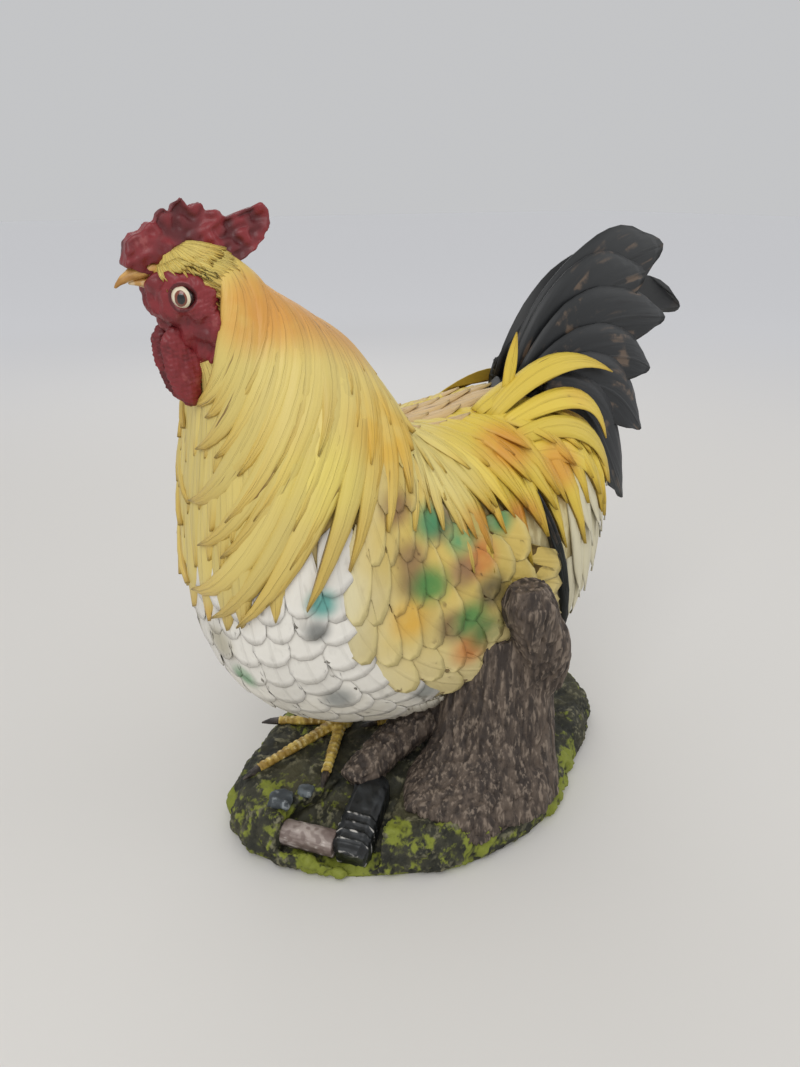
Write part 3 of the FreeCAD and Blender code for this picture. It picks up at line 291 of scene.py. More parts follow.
def down_paint():
    """What shows between the feathers: cream on the body and straw yellow from the neck up."""
    work = Paint("down_acrylic", 0.55, "#B9A878")
    height = add(work.tree, "ShaderNodeSeparateXYZ", ((0, work.place),)).outputs[2]
    streaks = work.grain(3, 4, (1, 1, 4))
    work.coat("#DCCF9E", work.ramp(streaks, 0.40, 0.6))
    warm = work.mix(work.ramp(streaks, 0.38, 0.6), srgb("#BD9848"), srgb("#D6B860"))
    work.colour = work.mix(work.ramp(height, 0.200, 0.260), work.colour, warm)
    return work.done(streaks, 1.0)


def eye_paint(word, centre, out):
    """Gloss enamel on cast resin: black pupil, brown-red iris, cream round it, dark lid line."""
    work = Paint("eye_enamel_" + word, 0.18, "#0C0A0A", Coat_Weight=0.6, Coat_Roughness=0.08)
    aside = work.vector("SUBTRACT", work.place, tuple(centre + out * 0.0055), output="Vector")
    aside = work.vector("MULTIPLY", aside, (1.25, 0.6, 0.85), output="Vector")
    far = work.maths("ADD", work.vector("LENGTH", aside), work.times(work.grain(2), 0.0008))
    for start, end, code in ((0.0026, 0.0029, "#7A3A24"), (0.0039, 0.0043, "#E8DCC0"), (0.0060, 0.0064, "#2A1A16")):
        work.coat(code, work.ramp(far, start, end))
    return work.done(work.grain(2), 0.05)


def plain_paint(name, roughness, first, second, size, stretch, **fixed):
    """A material for what is inside: two colours in fine streaks."""
    work = Paint(name, roughness, first, **fixed)
    work.coat(second, work.grain(size, 3, stretch))
    return work.done()


# Airbrushed patches: around, along, radius in millimetres and colour. The back's and the neck's are warm stains.
SADDLE_SPOTS = ((0.40, 0.30, 24, "#D9952E"), (0.36, 0.22, 22, "#D89A36"), (0.44, 0.16, 22, "#D9A234"),
                (0.33, 0.38, 18, "#CF9034"), (0.32, 0.31, 20, "#CC7C26"))
NECK_SPOTS = ((0.02, 0.66, 22, "#DDB050"), (0.30, 0.90, 26, "#D99A3E"), (0.40, 0.86, 34, "#D4943C"),
              (0.46, 0.76, 40, "#D0964A"), (0.36, 0.62, 34, "#DBAE3A"), (0.26, 0.70, 30, "#E6D26A"))
BREAST_SPOTS = ((0.206, 0.610, 12, "#45A59A"), (0.186, 0.596, 10, "#7C7E7A"), (0.170, 0.437, 13, "#8E908A"),
                (0.141, 0.526, 13, "#8A8C88"), (0.153, 0.402, 10, "#3F9C70"), (0.055, 0.603, 12, "#5F9A66"),
                (0.040, 0.643, 16, "#B9B29A"), (0.100, 0.350, 12, "#77905A"))
WING_SPOTS = ((0.248, 0.489, 17, "#D9A83C"), (0.303, 0.388, 17, "#D07C34"), (0.225, 0.395, 18, "#CC7A30"),
              (0.314, 0.564, 14, "#8A6440"), (0.334, 0.456, 14, "#7A5E44"), (0.352, 0.423, 13, "#7E6248"),
              (0.275, 0.498, 15, "#7E6640"), (0.249, 0.425, 15, "#6E5232"), (0.291, 0.512, 14, "#907048"),
              (0.294, 0.416, 14, "#94704E"), (0.341, 0.362, 14, "#7E6248"), (0.270, 0.367, 16, "#5E5440"),
              (0.331, 0.482, 15, "#34885A"), (0.325, 0.416, 15, "#409664"), (0.278, 0.468, 16, "#37853E"),
              (0.252, 0.400, 16, "#3E8A40"), (0.237, 0.374, 16, "#487A3A"), (0.332, 0.346, 13, "#5C9860"))


def both_sides(spots):
    """The spots, and again on the right those that don't lie on the middle line."""
    return spots + tuple((-around, *rest) for around, *rest in spots if around > 0.02)


FORWARD, UP = (1, 0, 0), (0, 0, 1)
CREAM = feather_paint("cream_feather_acrylic", "#E8E4DA", ((UP, 150, 70, "#DDD6C4"),), "#5A5344",
                      both_sides(BREAST_SPOTS), barb=0.3, pale="#F0ECE4", groove=0.14)
NECK = feather_paint("neck_feather_acrylic", "#DCC671", ((UP, 215, 165, "#D9C985"), (UP, 335, 362, "#DCC468")),
                     "#6A4418", both_sides(NECK_SPOTS), pale="#CFA63A", groove=0.12, under=0.42)
WING = feather_paint("wing_feather_acrylic", "#D2B75F", ((UP, 190, 120, "#DCCB92"), (FORWARD, -60, -105, "#DDD2A6")),
                     "#5A3C18", both_sides(WING_SPOTS), barb=0.4, pale="#DCCB86", groove=0.10, under=0.8)
SADDLE = feather_paint("saddle_feather_acrylic", "#DFC348",
                       ((FORWARD, 20, -30, "#DDCB7C"), (UP, 215, 160, "#DECC72")),
                       "#6E4A18", both_sides(SADDLE_SPOTS), pale="#D2A92C", groove=0.12, under=0.6)
RIDGE = feather_paint("back_feather_acrylic", "#CDAC74", ((FORWARD, 50, 90, "#DCC268"),), "#7A5638",
                      pale="#D8BE86", groove=0.25, under=0.5)
FLUFF = feather_paint("fluff_feather_acrylic", "#D6CEAE", ((UP, 215, 250, "#DAC670"),), "#6A6048", barb=0.8,
                      pale="#EEEAD8", groove=0.16, under=0.7)
TAIL = feather_paint("tail_feather_acrylic", "#1B1D1F", ((UP, 300, 380, "#232526"), (UP, 235, 190, "#1E2421")),
                     "#0C0D0E", brushed="#715D4B", groove=0.6)
FLESH = flesh_paint("red_skin_acrylic", "#86262B", "#531519", "#B46864", 9)
# Dark, middle and pale colour, size and stretch of the grain, depth of the relief in millimetres, roughness.
LEG = streaked_paint("leg_scale_acrylic", "#A08038", "#E0C260", "#EEDCA0", 5, (1, 1, 1), 0.3, 0.45)
CLAW = streaked_paint("claw_acrylic", "#2A2420", "#4A4038", "#8A7A66", 3, (1, 1, 1), 0.2, 0.4)
BEAK = streaked_paint("beak_horn_acrylic", "#A87838", "#DDAE62", "#F0E2C0", 5, (3, 1, 1), 0.2, 0.38)
BARK = streaked_paint("bark_acrylic", "#382F29", "#5F5247", "#8A7B6C", 2.6, (1, 1, 20), 1.0, 0.75)
HAFT = streaked_paint("haft_wood_acrylic", "#75655E", "#AB9E96", "#D2C8C0", 2.6, (9, 9, 1), 0.4, 0.65)
IRON = streaked_paint("hatchet_iron_acrylic", "#141617", "#2C2F31", "#D8D4CC", 5, (1, 4, 1), 0.3, 0.42)
STONE = streaked_paint("stone_acrylic", "#3C4144", "#62696C", "#9CA1A2", 5, (1, 1, 1), 0.4, 0.7)
GROUND = ground_paint("mossy_ground_acrylic", "#1F2017", "#3B3A2A", "#78745A", "#878F2C", "#4E4A30")
DOWN = down_paint()
STEEL = plain_paint("drawn_steel_rod", 0.35, "#8A8C8E", "#B4B6B8", 3, (1, 1, 9), Metallic=1.0)
DOWEL = plain_paint("beech_dowel", 0.6, "#B48A5C", "#D8B488", 2, (9, 1, 4))


# ---- meshes ----
def to_mesh(bm, name, outward=False):
    """Ends a bmesh as a new mesh, with its faces turned outwards if asked."""
    if outward:
        bmesh.ops.recalc_face_normals(bm, faces=bm.faces[:])
    mesh = bpy.data.meshes.new(name)
    bm.to_mesh(mesh)
    bm.free()
    return mesh


def placed(bm, points):
    """Moves the points of a bmesh, in their order."""
    for vert, point in zip(bm.verts, points):
        vert.co = point


def coordinates(mesh):
    points = np.empty(len(mesh.vertices) * 3)
    mesh.vertices.foreach_get("co", points)
    return points.reshape(-1, 3)


def finish_piece(name, mesh, slot, material, nodes, attributes=None):
    """Puts a mesh on the bird: its object, material and body, and hides the solids that it stands for."""
    mesh.name = name
    for key, values in (attributes or {}).items():
        layer = mesh.attributes.new(key, "FLOAT", "POINT")
        layer.data.foreach_set("value", np.asarray(values, np.float32))
    piece = bpy.data.objects.new(name, mesh)
    bpy.context.scene.collection.objects.link(piece)
    mesh.polygons.foreach_set("use_smooth", np.ones(len(mesh.polygons), bool))
    mesh.materials.clear()
    mesh.materials.append(material)
    mesh.update()
    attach(piece, "root")
    if nodes:
        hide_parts(*nodes)
    return piece


def thickened(bm):
    """Turns a sheet at z 0 into a slab with its top at z 1 and one plain face below."""
    raised = bmesh.ops.extrude_face_region(bm, geom=bm.faces[:])["geom"]
    bmesh.ops.translate(bm, verts=[g for g in raised if isinstance(g, bmesh.types.BMVert)], vec=(0, 0, 1))
    under = [f for f in bm.faces if max(v.co.z for v in f.verts) < 0.5]
    bmesh.ops.dissolve_faces(bm, faces=under, use_verts=True)


def feather_blank(columns, rows):
    """One feather blank: x from -1 to 1 across, y from the root 0 to the tip 1, z 0 below and 1 above."""
    bm = bmesh.new()
    bmesh.ops.create_grid(bm, x_segments=columns, y_segments=rows, size=1.0)
    bmesh.ops.translate(bm, verts=bm.verts, vec=(0, 1, 0))
    bmesh.ops.scale(bm, verts=bm.verts, vec=(1, 0.5, 1))
    thickened(bm)
    bmesh.ops.holes_fill(bm, edges=[e for e in bm.edges if e.is_boundary], sides=0)
    return to_mesh(bm, "feather_blank", outward=True)


BLANK = feather_blank(4, 7)
ROUND_BLANK = feather_blank(6, 5)
LONG_BLANK = feather_blank(6, 14)


def plumage(name, nodes, slot, material, feathers, blank=BLANK):
    """A piece of many feathers: each entry is a function that sets one blank's points."""
    bm = bmesh.new()
    for _ in feathers:
        bm.from_mesh(blank)
    mesh = to_mesh(bm, name)
    unit = coordinates(blank)
    points = np.concatenate([feather(*unit.T) for feather in feathers])
    mesh.vertices.foreach_set("co", points.ravel())
    tones = np.repeat([RANDOM.random() for _ in feathers], len(unit))
    loops = np.empty(len(mesh.loops), int)
    mesh.loops.foreach_get("vertex_index", loops)
    flat = np.tile(unit[:, :2] * (0.5, 1) + (0.5, 0), (len(feathers), 1))
    mesh.uv_layers.new(name="feather").data.foreach_set("uv", flat[loops].astype(np.float32).ravel())
    return finish_piece(name, mesh, slot, material, nodes,
                        {"tone": tones, "depth": np.tile(unit[:, 2], len(feathers))})


# ---- feathers ----
SCALE_BLUNT = 0.2       # a feather blunter than this is a scale: evenly round at the tip, with no raised shaft


def pointed(t):
    """Width down a neck or saddle feather."""
    return np.where(t < 0.5, 0.62 + 0.38 * np.sin(np.pi * t), 1.0 - 0.93 * (share(t - 0.5) / 0.5) ** 1.7)


def rounded(t):
    """Width down a breast or wing feather."""
    return 0.72 + 0.34 * np.sin(np.pi * 0.5 * share(t) ** 0.8)


def feather(track, mark, half, width, thick, lift, curve=0.0, curl=0.0, base=0.0, blunt=0.0, reach=1.0, sway=0.0):
    """One feather on the skin, as a function that sets the points of a blank.

    track(mark, t) is its way over the skin from the root 0 to the tip 1, half its half width there and width(t) its
    outline. Thickness, the lift and curl of its tip and the base that it starts on are millimetres. Curve and sway
    bend it sideways by half widths, blunt cuts its tip to an arc and reach stretches its length.
    """
    bow = curve + chance(-0.10, 0.10)
    size = half * chance(0.93, 1.07)
    stretch = reach * chance(0.95, 1.05)
    lift = lift * chance(0.85, 1.2)
    tilt = chance(-0.25, 0.25)
    shaft = 0.0 if blunt > SCALE_BLUNT else 0.14

    def set_points(s, y, h):
        t = 1 - (1 - y) ** 1.25
        s = np.sin(s * np.pi / 2) if blunt > SCALE_BLUNT else s
        across = s * width(t) + bow * t ** 2 + sway * np.sin(2 * np.pi * t) * t
        way = (t - blunt * (1 - np.sqrt(share(1 - s * s))) * t ** 2) * stretch
        around, along = track(mark + size * across, way)
        crown = 1 - s * s
        top = thick * (0.30 + 0.70 * crown ** 0.7) * (0.55 + 0.45 * np.sin(np.pi * share(t) ** 0.8))
        top = top + shaft * thick * (s == 0) * (t > 0.05)
        height = base + lift * t ** 1.15 + curl * t ** 4 + tilt * s * thick + h * top - (1 - h) * 0.9 * (1 - t)
        return skin(around, along, height / 1000)
    return set_points


def one_side(track, side):
    """The same layout on the left (-1) or on the right (1)."""
    def other(mark, t):
        around, along = track(mark, t)
        return -side * around, along
    return other


def spread(first, last, count):
    return [first + (last - first) * k / (count - 1) for k in range(count)]


PROBE = 0.004           # a short way over the skin, to measure how many metres a share of it is


def lock(path, half, thick, lift, base, curl):
    """A long lock along path(t) on the skin: its width is kept in real millimetres, whichever way it runs."""
    half = half * chance(0.9, 1.1)
    lift = lift * chance(0.8, 1.25)

    def set_points(s, t, h):
        around, along = path(t)
        level = np.zeros(len(t))
        here = skin(around, along, level)
        per_around = np.linalg.norm(skin(around + PROBE, along, level) - here, axis=1) / PROBE
        per_along = np.linalg.norm(skin(around, along - PROBE, level) - here, axis=1) / PROBE
        next_around, next_along = path(t + 0.01)
        ahead = np.stack([(next_around - around) * per_around, (next_along - along) * per_along], 1)
        ahead /= np.linalg.norm(ahead, axis=1, keepdims=True)
        wide = half / 1000 * pointed(t) * s
        top = thick * (0.25 + 0.75 * (1 - s * s) ** 0.75) * (0.5 + 0.5 * np.sin(np.pi * share(t) ** 0.8))
        height = base * share(t * 4) + lift * np.clip(t, 0, 2) ** 1.6 + curl * t ** 4 + h * top - (1 - h) * 1.2
        return skin(around - ahead[:, 1] * wide / per_around,
                    np.minimum(along + ahead[:, 0] * wide / per_along, 0.995), height / 1000)
    return set_points


def curved(root, control, tip, t):
    """Points on a bow from root to tip that leans to its control point, and the way ahead there."""
    t = t[:, None]
    centre = root * (1 - t) ** 2 + control * 2 * t * (1 - t) + tip * t * t
    return centre, (control - root) * (1 - t) + (tip - control) * t


def free_lock(root, middle, tip, half, facing, side):
    """A lock that stands free, on a bow through three points in millimetres from the bird's middle plane."""
    a, b, c = (np.array([x, MIDDLE_Y * 1000 + (y if side < 0 else -y), z]) / 1000 for x, y, z in (root, middle, tip))
    upward = np.array([facing[0], facing[1] if side < 0 else -facing[1], facing[2]])

    def set_points(s, t, h):
        centre, ahead = curved(a, 2 * b - (a + c) / 2, c, t)
        across = np.cross(ahead, upward) * side
        across /= np.linalg.norm(across, axis=1, keepdims=True)
        face = np.cross(across, ahead) * side
        face /= np.linalg.norm(face, axis=1, keepdims=True)
        wide = half / 1000 * pointed(t) * s
        high = (h - 0.4) * (0.5 + 2.6 * (1 - s * s)) * (1 - 0.6 * t ** 3) / 1000
        return centre + across * wide[:, None] + face * high[:, None]
    return set_points


# ---- neck and head ----
# Rows of locks up the neck: shift, number on a side, then half width, thickness, lift and base in millimetres.
HACKLE_ROWS = ((0.030, 10, 13.0, 4.4, 5.0, 0.6), (0.075, 9, 12.5, 4.4, 2.8, 1.2), (0.120, 9, 12.0, 4.2, 2.4, 1.8),
               (0.165, 8, 11.5, 3.8, 2.2, 2.2), (0.210, 7, 11.0, 3.2, 1.8, 2.5))
NECK_NODES = (("hackle_lower", 0, 2), ("hackle_middle", 2, 4), ("hackle_upper", 4, 5))
FIRST_MARK, SIDE_SPAN, THROAT_SPAN = 0.006, 0.47, 0.33      # how far round the locks of a row are spread
NAPE, LONGEST_SWEEP = 0.475, 0.34                           # no lock starts or sweeps further round than this
NECK_TOP, THROAT_TOP = 0.955, 0.908                         # no lock starts above this along the skin
THROAT_LOCKS = 9
THROAT_SINK = 2.0       # millimetres by which the throat's locks lie deeper than those of the sides


def fringe(mark):
    """Where the lowest locks of the neck end: further down on the back than on the breast."""
    return 0.61 + 0.09 * np.cos(2 * np.pi * mark)


def neck_path(side, mark, low, sweep, rise):
    """Down the nape first, then slanting forward round the neck to the tip."""
    def path(t):
        left = share(1 - t)
        return -side * (mark + sweep * (1 - np.clip(t, 0, 2) ** 1.3)), low + rise * left ** 1.6 - 0.045 * t
    return path


def side_locks(row):
    shift, count, half, thick, lift, base = HACKLE_ROWS[row]
    for side, _ in SIDES:
        for k in range(count):
            mark = FIRST_MARK + SIDE_SPAN * (k + 0.5 * (row % 2) + chance(-0.12, 0.12)) / count
            sweep = min(LONGEST_SWEEP, NAPE - mark) * chance(0.85, 1.0)
            low = fringe(mark) + shift + chance(-0.012, 0.012)
            rise = min(0.06 + 0.26 * mark, NECK_TOP - low)
            if rise > 0.03:
                yield lock(neck_path(side, mark, low, sweep, rise), half * (0.8 + 0.2 * rise / 0.1), thick, lift,
                           base, chance(0.0, 1.5))


def throat_locks(row):
    shift, _, half, thick, lift, base = HACKLE_ROWS[row]
    for k in range(THROAT_LOCKS):
        mark = -THROAT_SPAN / 2 + THROAT_SPAN * (k + 0.5 * (row % 2) + chance(-0.15, 0.15)) / 8.5
        low = fringe(abs(mark)) + shift - 0.012 + chance(-0.010, 0.010)
        rise = min(0.15, THROAT_TOP - 0.15 * abs(mark) - low)
        if rise > 0.035:
            yield lock(neck_path(-1 if mark > 0 else 1, abs(mark), low, 0.3 * abs(mark), rise), half, thick, lift,
                       base - THROAT_SINK, chance(0.0, 1.0))


def hackles(first, last):
    return [made for row in range(first, last) for locks in (side_locks, throat_locks) for made in locks(row)]


def crown_tufts():
    """Fine hair between the foot of the comb and the brow."""
    def on_skin(around, along, height=0.0):
        return skin(around, along, height) * 1000 - (0, MIDDLE_Y * 1000, 0)
    centre = on_skin(np.linspace(0, 1, 33), np.full(33, 0.997), np.zeros(33)).mean(axis=0)
    tufts = []
    for mark in spread(0.11, 0.89, 44):
        edge, tip = on_skin(mark, 0.997), on_skin(mark, 0.970, 0.0022)
        outward = edge - centre
        root = centre + outward * chance(0.30, 0.5)
        tufts.append(free_lock(root, (root + edge) / 2 + (0, 0, 1.6), tip + (chance(0, 3), 0, 0), 2.2,
                               (outward[0] / 20, outward[1] / 20, 1.0), -1))
    return tufts


def brow_track(row):
    def track(mark, t):
        return mark + 0.06 * t, 0.999 - 0.013 * row - 0.040 * t - 0.05 * (0.5 - mark) * (mark > 0.24)
    return track


def head_tufts():
    """Short hair-like feathers over the brow, between the comb, the face and the nape."""
    brow, rows = 0.235, 6
    return [feather(one_side(brow_track(row), side), mark, -side * 0.013, pointed, 1.3, 1.6,
                    curve=chance(-0.7, 0.7), curl=0.5, base=-0.2, reach=0.5 if mark < brow else 1.0)
            for side, _ in SIDES for row in range(rows)
            for mark in spread((0.10 if row == 0 else brow) + 0.01 * (row % 2), 0.475, 22 if row == 0 else 15)]


# ---- breast, wings, back and tail ----
BREAST_REACH = (0.25, 0.24, 0.225, 0.205, 0.20, 0.195, 0.19, 0.18, 0.17)    # how far round each row of scales runs
BREAST_PIECES = 5
SCALE_WIDTH = 0.039
# Rows of saddle locks: where they leave the spine, how far they fall and run back, the first and last place along the
# spine, how many there are, half width, base and thickness.
SADDLE_LOW = ((0.470, 0.185, 0.11, 0.50, 0.20, 10, 0.0200, 0.0, 2.6),
              (0.475, 0.145, 0.12, 0.54, 0.22, 11, 0.0200, 0.6, 2.6),
              (0.470, 0.130, 0.07, 0.63, 0.50, 7, 0.0290, 0.2, 2.6))
SADDLE_HIGH = ((0.480, 0.165, 0.13, 0.50, 0.24, 8, 0.0190, 0.8, 3.0),
               (0.485, 0.100, 0.12, 0.56, 0.20, 11, 0.0210, 1.2, 2.0))
# Free locks at the root of the tail: root, middle and tip, then half width and facing. The right side has only three.
FREE_LOCKS = (
    ((54, -26, 280), (57, -27, 307), (60, -28, 331), 4.6, (-0.2, -1, 0)),
    ((36, -32, 276), (91, -34, 307), (146, -36, 296), 9, (0, -0.6, 0.8)),
    ((42, -42, 272), (103, -45, 284), (136, -46, 250), 9, (0.1, -0.7, 0.7)),
    ((40, -52, 264), (100, -56, 264), (135, -55, 218), 9, (0.2, -0.8, 0.6)),
    ((36, -60, 254), (90, -64, 250), (121, -63, 208), 9, (0.2, -0.8, 0.5)),
    ((30, -26, 280), (70, -24, 296), (118, -22, 300), 8, (0, -0.3, 0.95)),
)


def flock(track, marks, side, half, *form, wander=0.0, **shape):
    """Feathers at the marks of one track; wander is how far each may bend to either side by chance."""
    made = []
    for mark in marks:
        if wander:
            shape["curve"] = chance(-wander, wander)
        made.append(feather(one_side(track, side), mark, half, *form, **shape))
    return made


def breast(first, last):
    def track(row):
        return lambda mark, t: (mark * (1 - 0.10 * t), fringe(mark) + 0.040 - 0.0265 * row - 0.058 * t)
    feathers = []
    for row in range(first, last):
        reach = BREAST_REACH[row]
        count = int(2 * reach / SCALE_WIDTH) + row % 2
        feathers += flock(track(row), spread(-reach, reach, count), -1, 0.53 * 2 * reach / (count - 1), rounded,
                          1.9, 3.4, curl=0.3, blunt=0.32)
    return feathers


def hem(side):
    """Two layers of short feathers along the lower edge of the belly."""
    def track(mark, t):
        return 0.116 + 0.12 * (0.5 - mark) - 0.062 * t, mark - 0.035 * t
    return [made for base, count, reach in ((0.0, 12, 1.05), (1.3, 13, 0.8))
            for made in flock(track, spread(0.46, 0.25, count), side, -side * 0.0125, pointed, 1.8, 3.2, wander=0.5,
                              curl=1.5, base=base, blunt=0.05, reach=reach)]


def wing(side):
    """Rows of scales, each row a little further down and round than the one above it."""
    def track(row):
        return lambda mark, t: (mark - 0.018 * t, 0.592 - 0.030 * row - 0.062 * t + 0.25 * (mark - 0.28))
    feathers = []
    for row in range(-1, 9):
        shift, inset = 0.0080 * row, 0.020 * (row % 2)
        feathers += flock(track(row), spread(0.225 + inset - shift, 0.385 - inset - shift, 5 - row % 2), side,
                          side * 0.0225, rounded, 2.6, 3.4, curl=0.2, base=1.8, blunt=0.48)
    return feathers


def primaries(side):
    def track(mark, t):
        return mark - 0.025 * t, 0.347 - 0.115 * t + 0.15 * (mark - 0.28)
    return flock(track, spread(0.185, 0.295, 7), side, side * 0.0165, rounded, 2.2, 4.0, curve=0.3, curl=0.6,
                 blunt=0.5)


def saddle(side, rows):
    """Locks that leave the spine smoothly, run back and then fall over the flank."""
    def track(root, drop, back):
        return lambda mark, t: (root - drop * np.clip(t, 0, 2) ** 1.5, mark - back * np.clip(t, 0, 2) ** 0.8)
    return [feather(one_side(track(root, drop, back), side), mark, -side * half * chance(0.9, 1.1), pointed, thick,
                    3.2, curve=chance(-0.3, 0.6), curl=chance(0.5, 5.0), base=base, reach=chance(0.85, 1.12),
                    sway=chance(-0.2, 0.2))
            for root, drop, back, first, last, count, half, base, thick in rows
            for mark in spread(first, last, count)]


def ridge():
    """Short feathers down the middle of the back."""
    def track(row):
        return lambda mark, t: (mark, 0.520 - 0.050 * row - 0.11 * t)
    return [made for row in range(5)
            for made in flock(track(row), spread(0.462, 0.538, 5 - row % 2), -1, 0.0125, pointed, 1.8, 3.8, curl=0.5)]


def fluff(side):
    """Loose feathers under the tail; the two rows nearest the spine are shorter."""
    def track(row):
        return lambda mark, t: (0.375 - 0.058 * row - 0.115 * t, mark - 0.03 * t)
    feathers = []
    for row in range(-2, 6):
        marks = spread(0.20, 0.012, 7 + row % 2) if row >= 0 else spread(0.12, 0.012, 5)
        feathers += flock(track(row), marks, side, -side * 0.0175, pointed, 2.0, 4.2, wander=0.5, curl=1.5, blunt=0.1)
    return feathers


def dark_patch(side):
    """Three dark feathers that show between the saddle tips and the fluff."""
    def track(mark, t):
        return mark - 0.115 * t, 0.272 - 0.06 * t + 0.4 * (mark - 0.33)
    return flock(track, (0.300, 0.335, 0.370), side, side * 0.036, rounded, 3.0, 4.0, curve=0.5, curl=0.5, base=1.6)


def free_locks(side):
    return [free_lock(*entry, side) for entry in (FREE_LOCKS if side < 0 else FREE_LOCKS[2:5])]


def vent():
    """Down that lies over the blunt end of the body under the tail."""
    rim = skin(np.linspace(0, 1, 33), np.zeros(33), np.zeros(33)) * 1000
    x, low, high = rim[:, 0].max(), rim[:, 2].min(), rim[:, 2].max()
    wide = (rim[:, 1].max() - rim[:, 1].min()) / 2
    locks = []
    for row in range(6):
        z = low + (high - low) * (row + 0.4) / 5.2
        for k in range(-3, 4):
            y = (k + 0.5 * (row % 2)) * wide / 2.6
            if (y / wide) ** 2 + ((2 * z - low - high) / (high - low)) ** 2 < 1.3:
                locks.append(free_lock((x - 1.0, y, z + 6), (x + 1.6, y, z - 4), (x + 2.2, y * 1.1, z - 14), 6,
                                       (1, 0, 0.1), -1))
    return locks


for node, first, last in NECK_NODES:
    plumage("neck_feathers_" + node[7:], [node], "neck_feathers", NECK, hackles(first, last), LONG_BLANK)
plumage("head_tufts", [], "neck_feathers", NECK, head_tufts())
plumage("crown_tufts", [], "neck_feathers", NECK, crown_tufts())
for k in range(BREAST_PIECES):
    first, last = (len(BREAST_REACH) * n // BREAST_PIECES for n in (k, k + 1))
    plumage("breast_feathers_%d" % (k + 1), ["breast_row_%d" % (k + 1)], "cream_feathers", CREAM,
            breast(first, last), ROUND_BLANK)
plumage("back_feathers", ["back_ridge"], "back_feathers", RIDGE, ridge())
for side, word in SIDES:
    for name, node, slot, material, make, blank in (    # a name without a node stands for no solid
            ("belly_feathers_", "belly_hem_", "cream_feathers", CREAM, hem, BLANK),
            ("wing_feathers_", "wing_coverts_", "wing_feathers", WING, wing, ROUND_BLANK),
            ("flight_feathers_", "wing_primaries_", "wing_feathers", WING, primaries, BLANK),
            ("saddle_feathers_low_", "saddle_lower_", "saddle_feathers", SADDLE,
             lambda side: saddle(side, SADDLE_LOW), BLANK),
            ("saddle_feathers_high_", "saddle_upper_", "saddle_feathers", SADDLE,
             lambda side: saddle(side, SADDLE_HIGH), BLANK),
            ("saddle_locks_", None, "saddle_feathers", SADDLE, free_locks, LONG_BLANK),
            ("rump_feathers_", "fluff_", "cream_feathers", FLUFF, fluff, BLANK),
            ("dark_feathers_", None, "tail_feathers", TAIL, dark_patch, ROUND_BLANK)):
        plumage(name + word, [node + word] if node else [], slot, material, make(side), blank)
plumage("vent_feathers", [], "cream_feathers", FLUFF, vent(), LONG_BLANK)


def under_body():
    """The resin under the feathers, one closed skin."""
    bm = bmesh.new()
    bmesh.ops.create_grid(bm, x_segments=96, y_segments=84, size=0.5)
    bmesh.ops.translate(bm, verts=bm.verts, vec=(0.5, 0.5, 0))
    flat = np.array([v.co for v in bm.verts])
    placed(bm, skin(flat[:, 0], flat[:, 1], np.full(len(flat), -0.0004)))
    bmesh.ops.remove_doubles(bm, verts=bm.verts, dist=1e-6)
    bmesh.ops.holes_fill(bm, edges=[e for e in bm.edges if e.is_boundary], sides=0)
    return to_mesh(bm, "under_body", outward=True)


finish_piece("under_body", under_body(), "cream_feathers", DOWN, ["body_shell"])

# Tail feathers from the inside out, in units of the tail's length from its root: the point that each leans to, its
# tip and its width. On the right the first is the long sickle feather. The two outlines are widths down a feather.
TAIL_ROOT_X, TAIL_ROOT_Z, TAIL_LENGTH, TAIL_HALF = 0.086, 0.288, 0.160, 0.0265
TAIL_ROWS = ((0.20, 0.44, 0.82, 0.575, 1.0), (0.15, 0.36, 0.66, 0.47, 1.0), (0.30, 0.36, 0.78, 0.25, 0.95),
             (0.34, 0.20, 0.66, 0.03, 0.90), (0.36, 0.08, 0.60, -0.24, 0.85), (0.30, -0.06, 0.46, -0.56, 0.85))
SICKLE = (0.42, 0.52, 1.07, 0.245, 0.60)
DOWN_FEATHER = (0, 0.2, 0.4, 0.6, 0.8, 0.93, 1.0)
BROAD, TAPERED = (0.60, 0.76, 0.92, 1.02, 1.02, 0.84, 0.46), (0.62, 0.84, 1.02, 1.04, 0.82, 0.60, 0.34)


def tail_feather(side, layer, bend_x, bend_z, tip_x, tip_z, wide):
    """A broad feather on edge, bowed outwards with a stout shaft."""
    def set_points(s, y, h):
        t = 1 - (1 - y) ** 1.15
        centre, ahead = curved(np.zeros(2), np.array([bend_x, bend_z]), np.array([tip_x, tip_z]),
                               t * (1 - 0.07 * s * s))
        ahead /= np.linalg.norm(ahead, axis=1, keepdims=True)
        profile = np.interp(t, DOWN_FEATHER, BROAD if layer < 2 else TAPERED)
        half = TAIL_HALF * wide * profile * s + 0.0012 * np.sin(9 * t + 2.1 * layer) * t
        xz = centre * TAIL_LENGTH + np.stack([-ahead[:, 1], ahead[:, 0]], 1) * half[:, None]
        crown = (1 - s * s) ** 0.7
        out = (h - 0.5) * (0.8 + 3.0 * crown) / 1000 + 0.0010 * (1 - s * s) + 0.0005 * (s == 0)
        depth = 0.0053 * (layer + 0.5) * (1 + 0.5 * t) + out - 0.0045 * s * t
        return np.stack([TAIL_ROOT_X + xz[:, 0], MIDDLE_Y + side * depth, TAIL_ROOT_Z + xz[:, 1]], 1)
    return set_points


for side, word in SIDES:
    rows = TAIL_ROWS if side < 0 else (SICKLE,) + TAIL_ROWS[1:]
    fan = plumage("tail_fan_" + word, ["tail_feathers_" + word], "tail_feathers", TAIL,
                  [tail_feather(side, layer, *row) for layer, row in enumerate(rows)], LONG_BLANK)
    bm = bmesh.new()
    bm.from_mesh(fan.data)
    bmesh.ops.recalc_face_normals(bm, faces=bm.faces[:])
    bm.to_mesh(fan.data)
    bm.free()


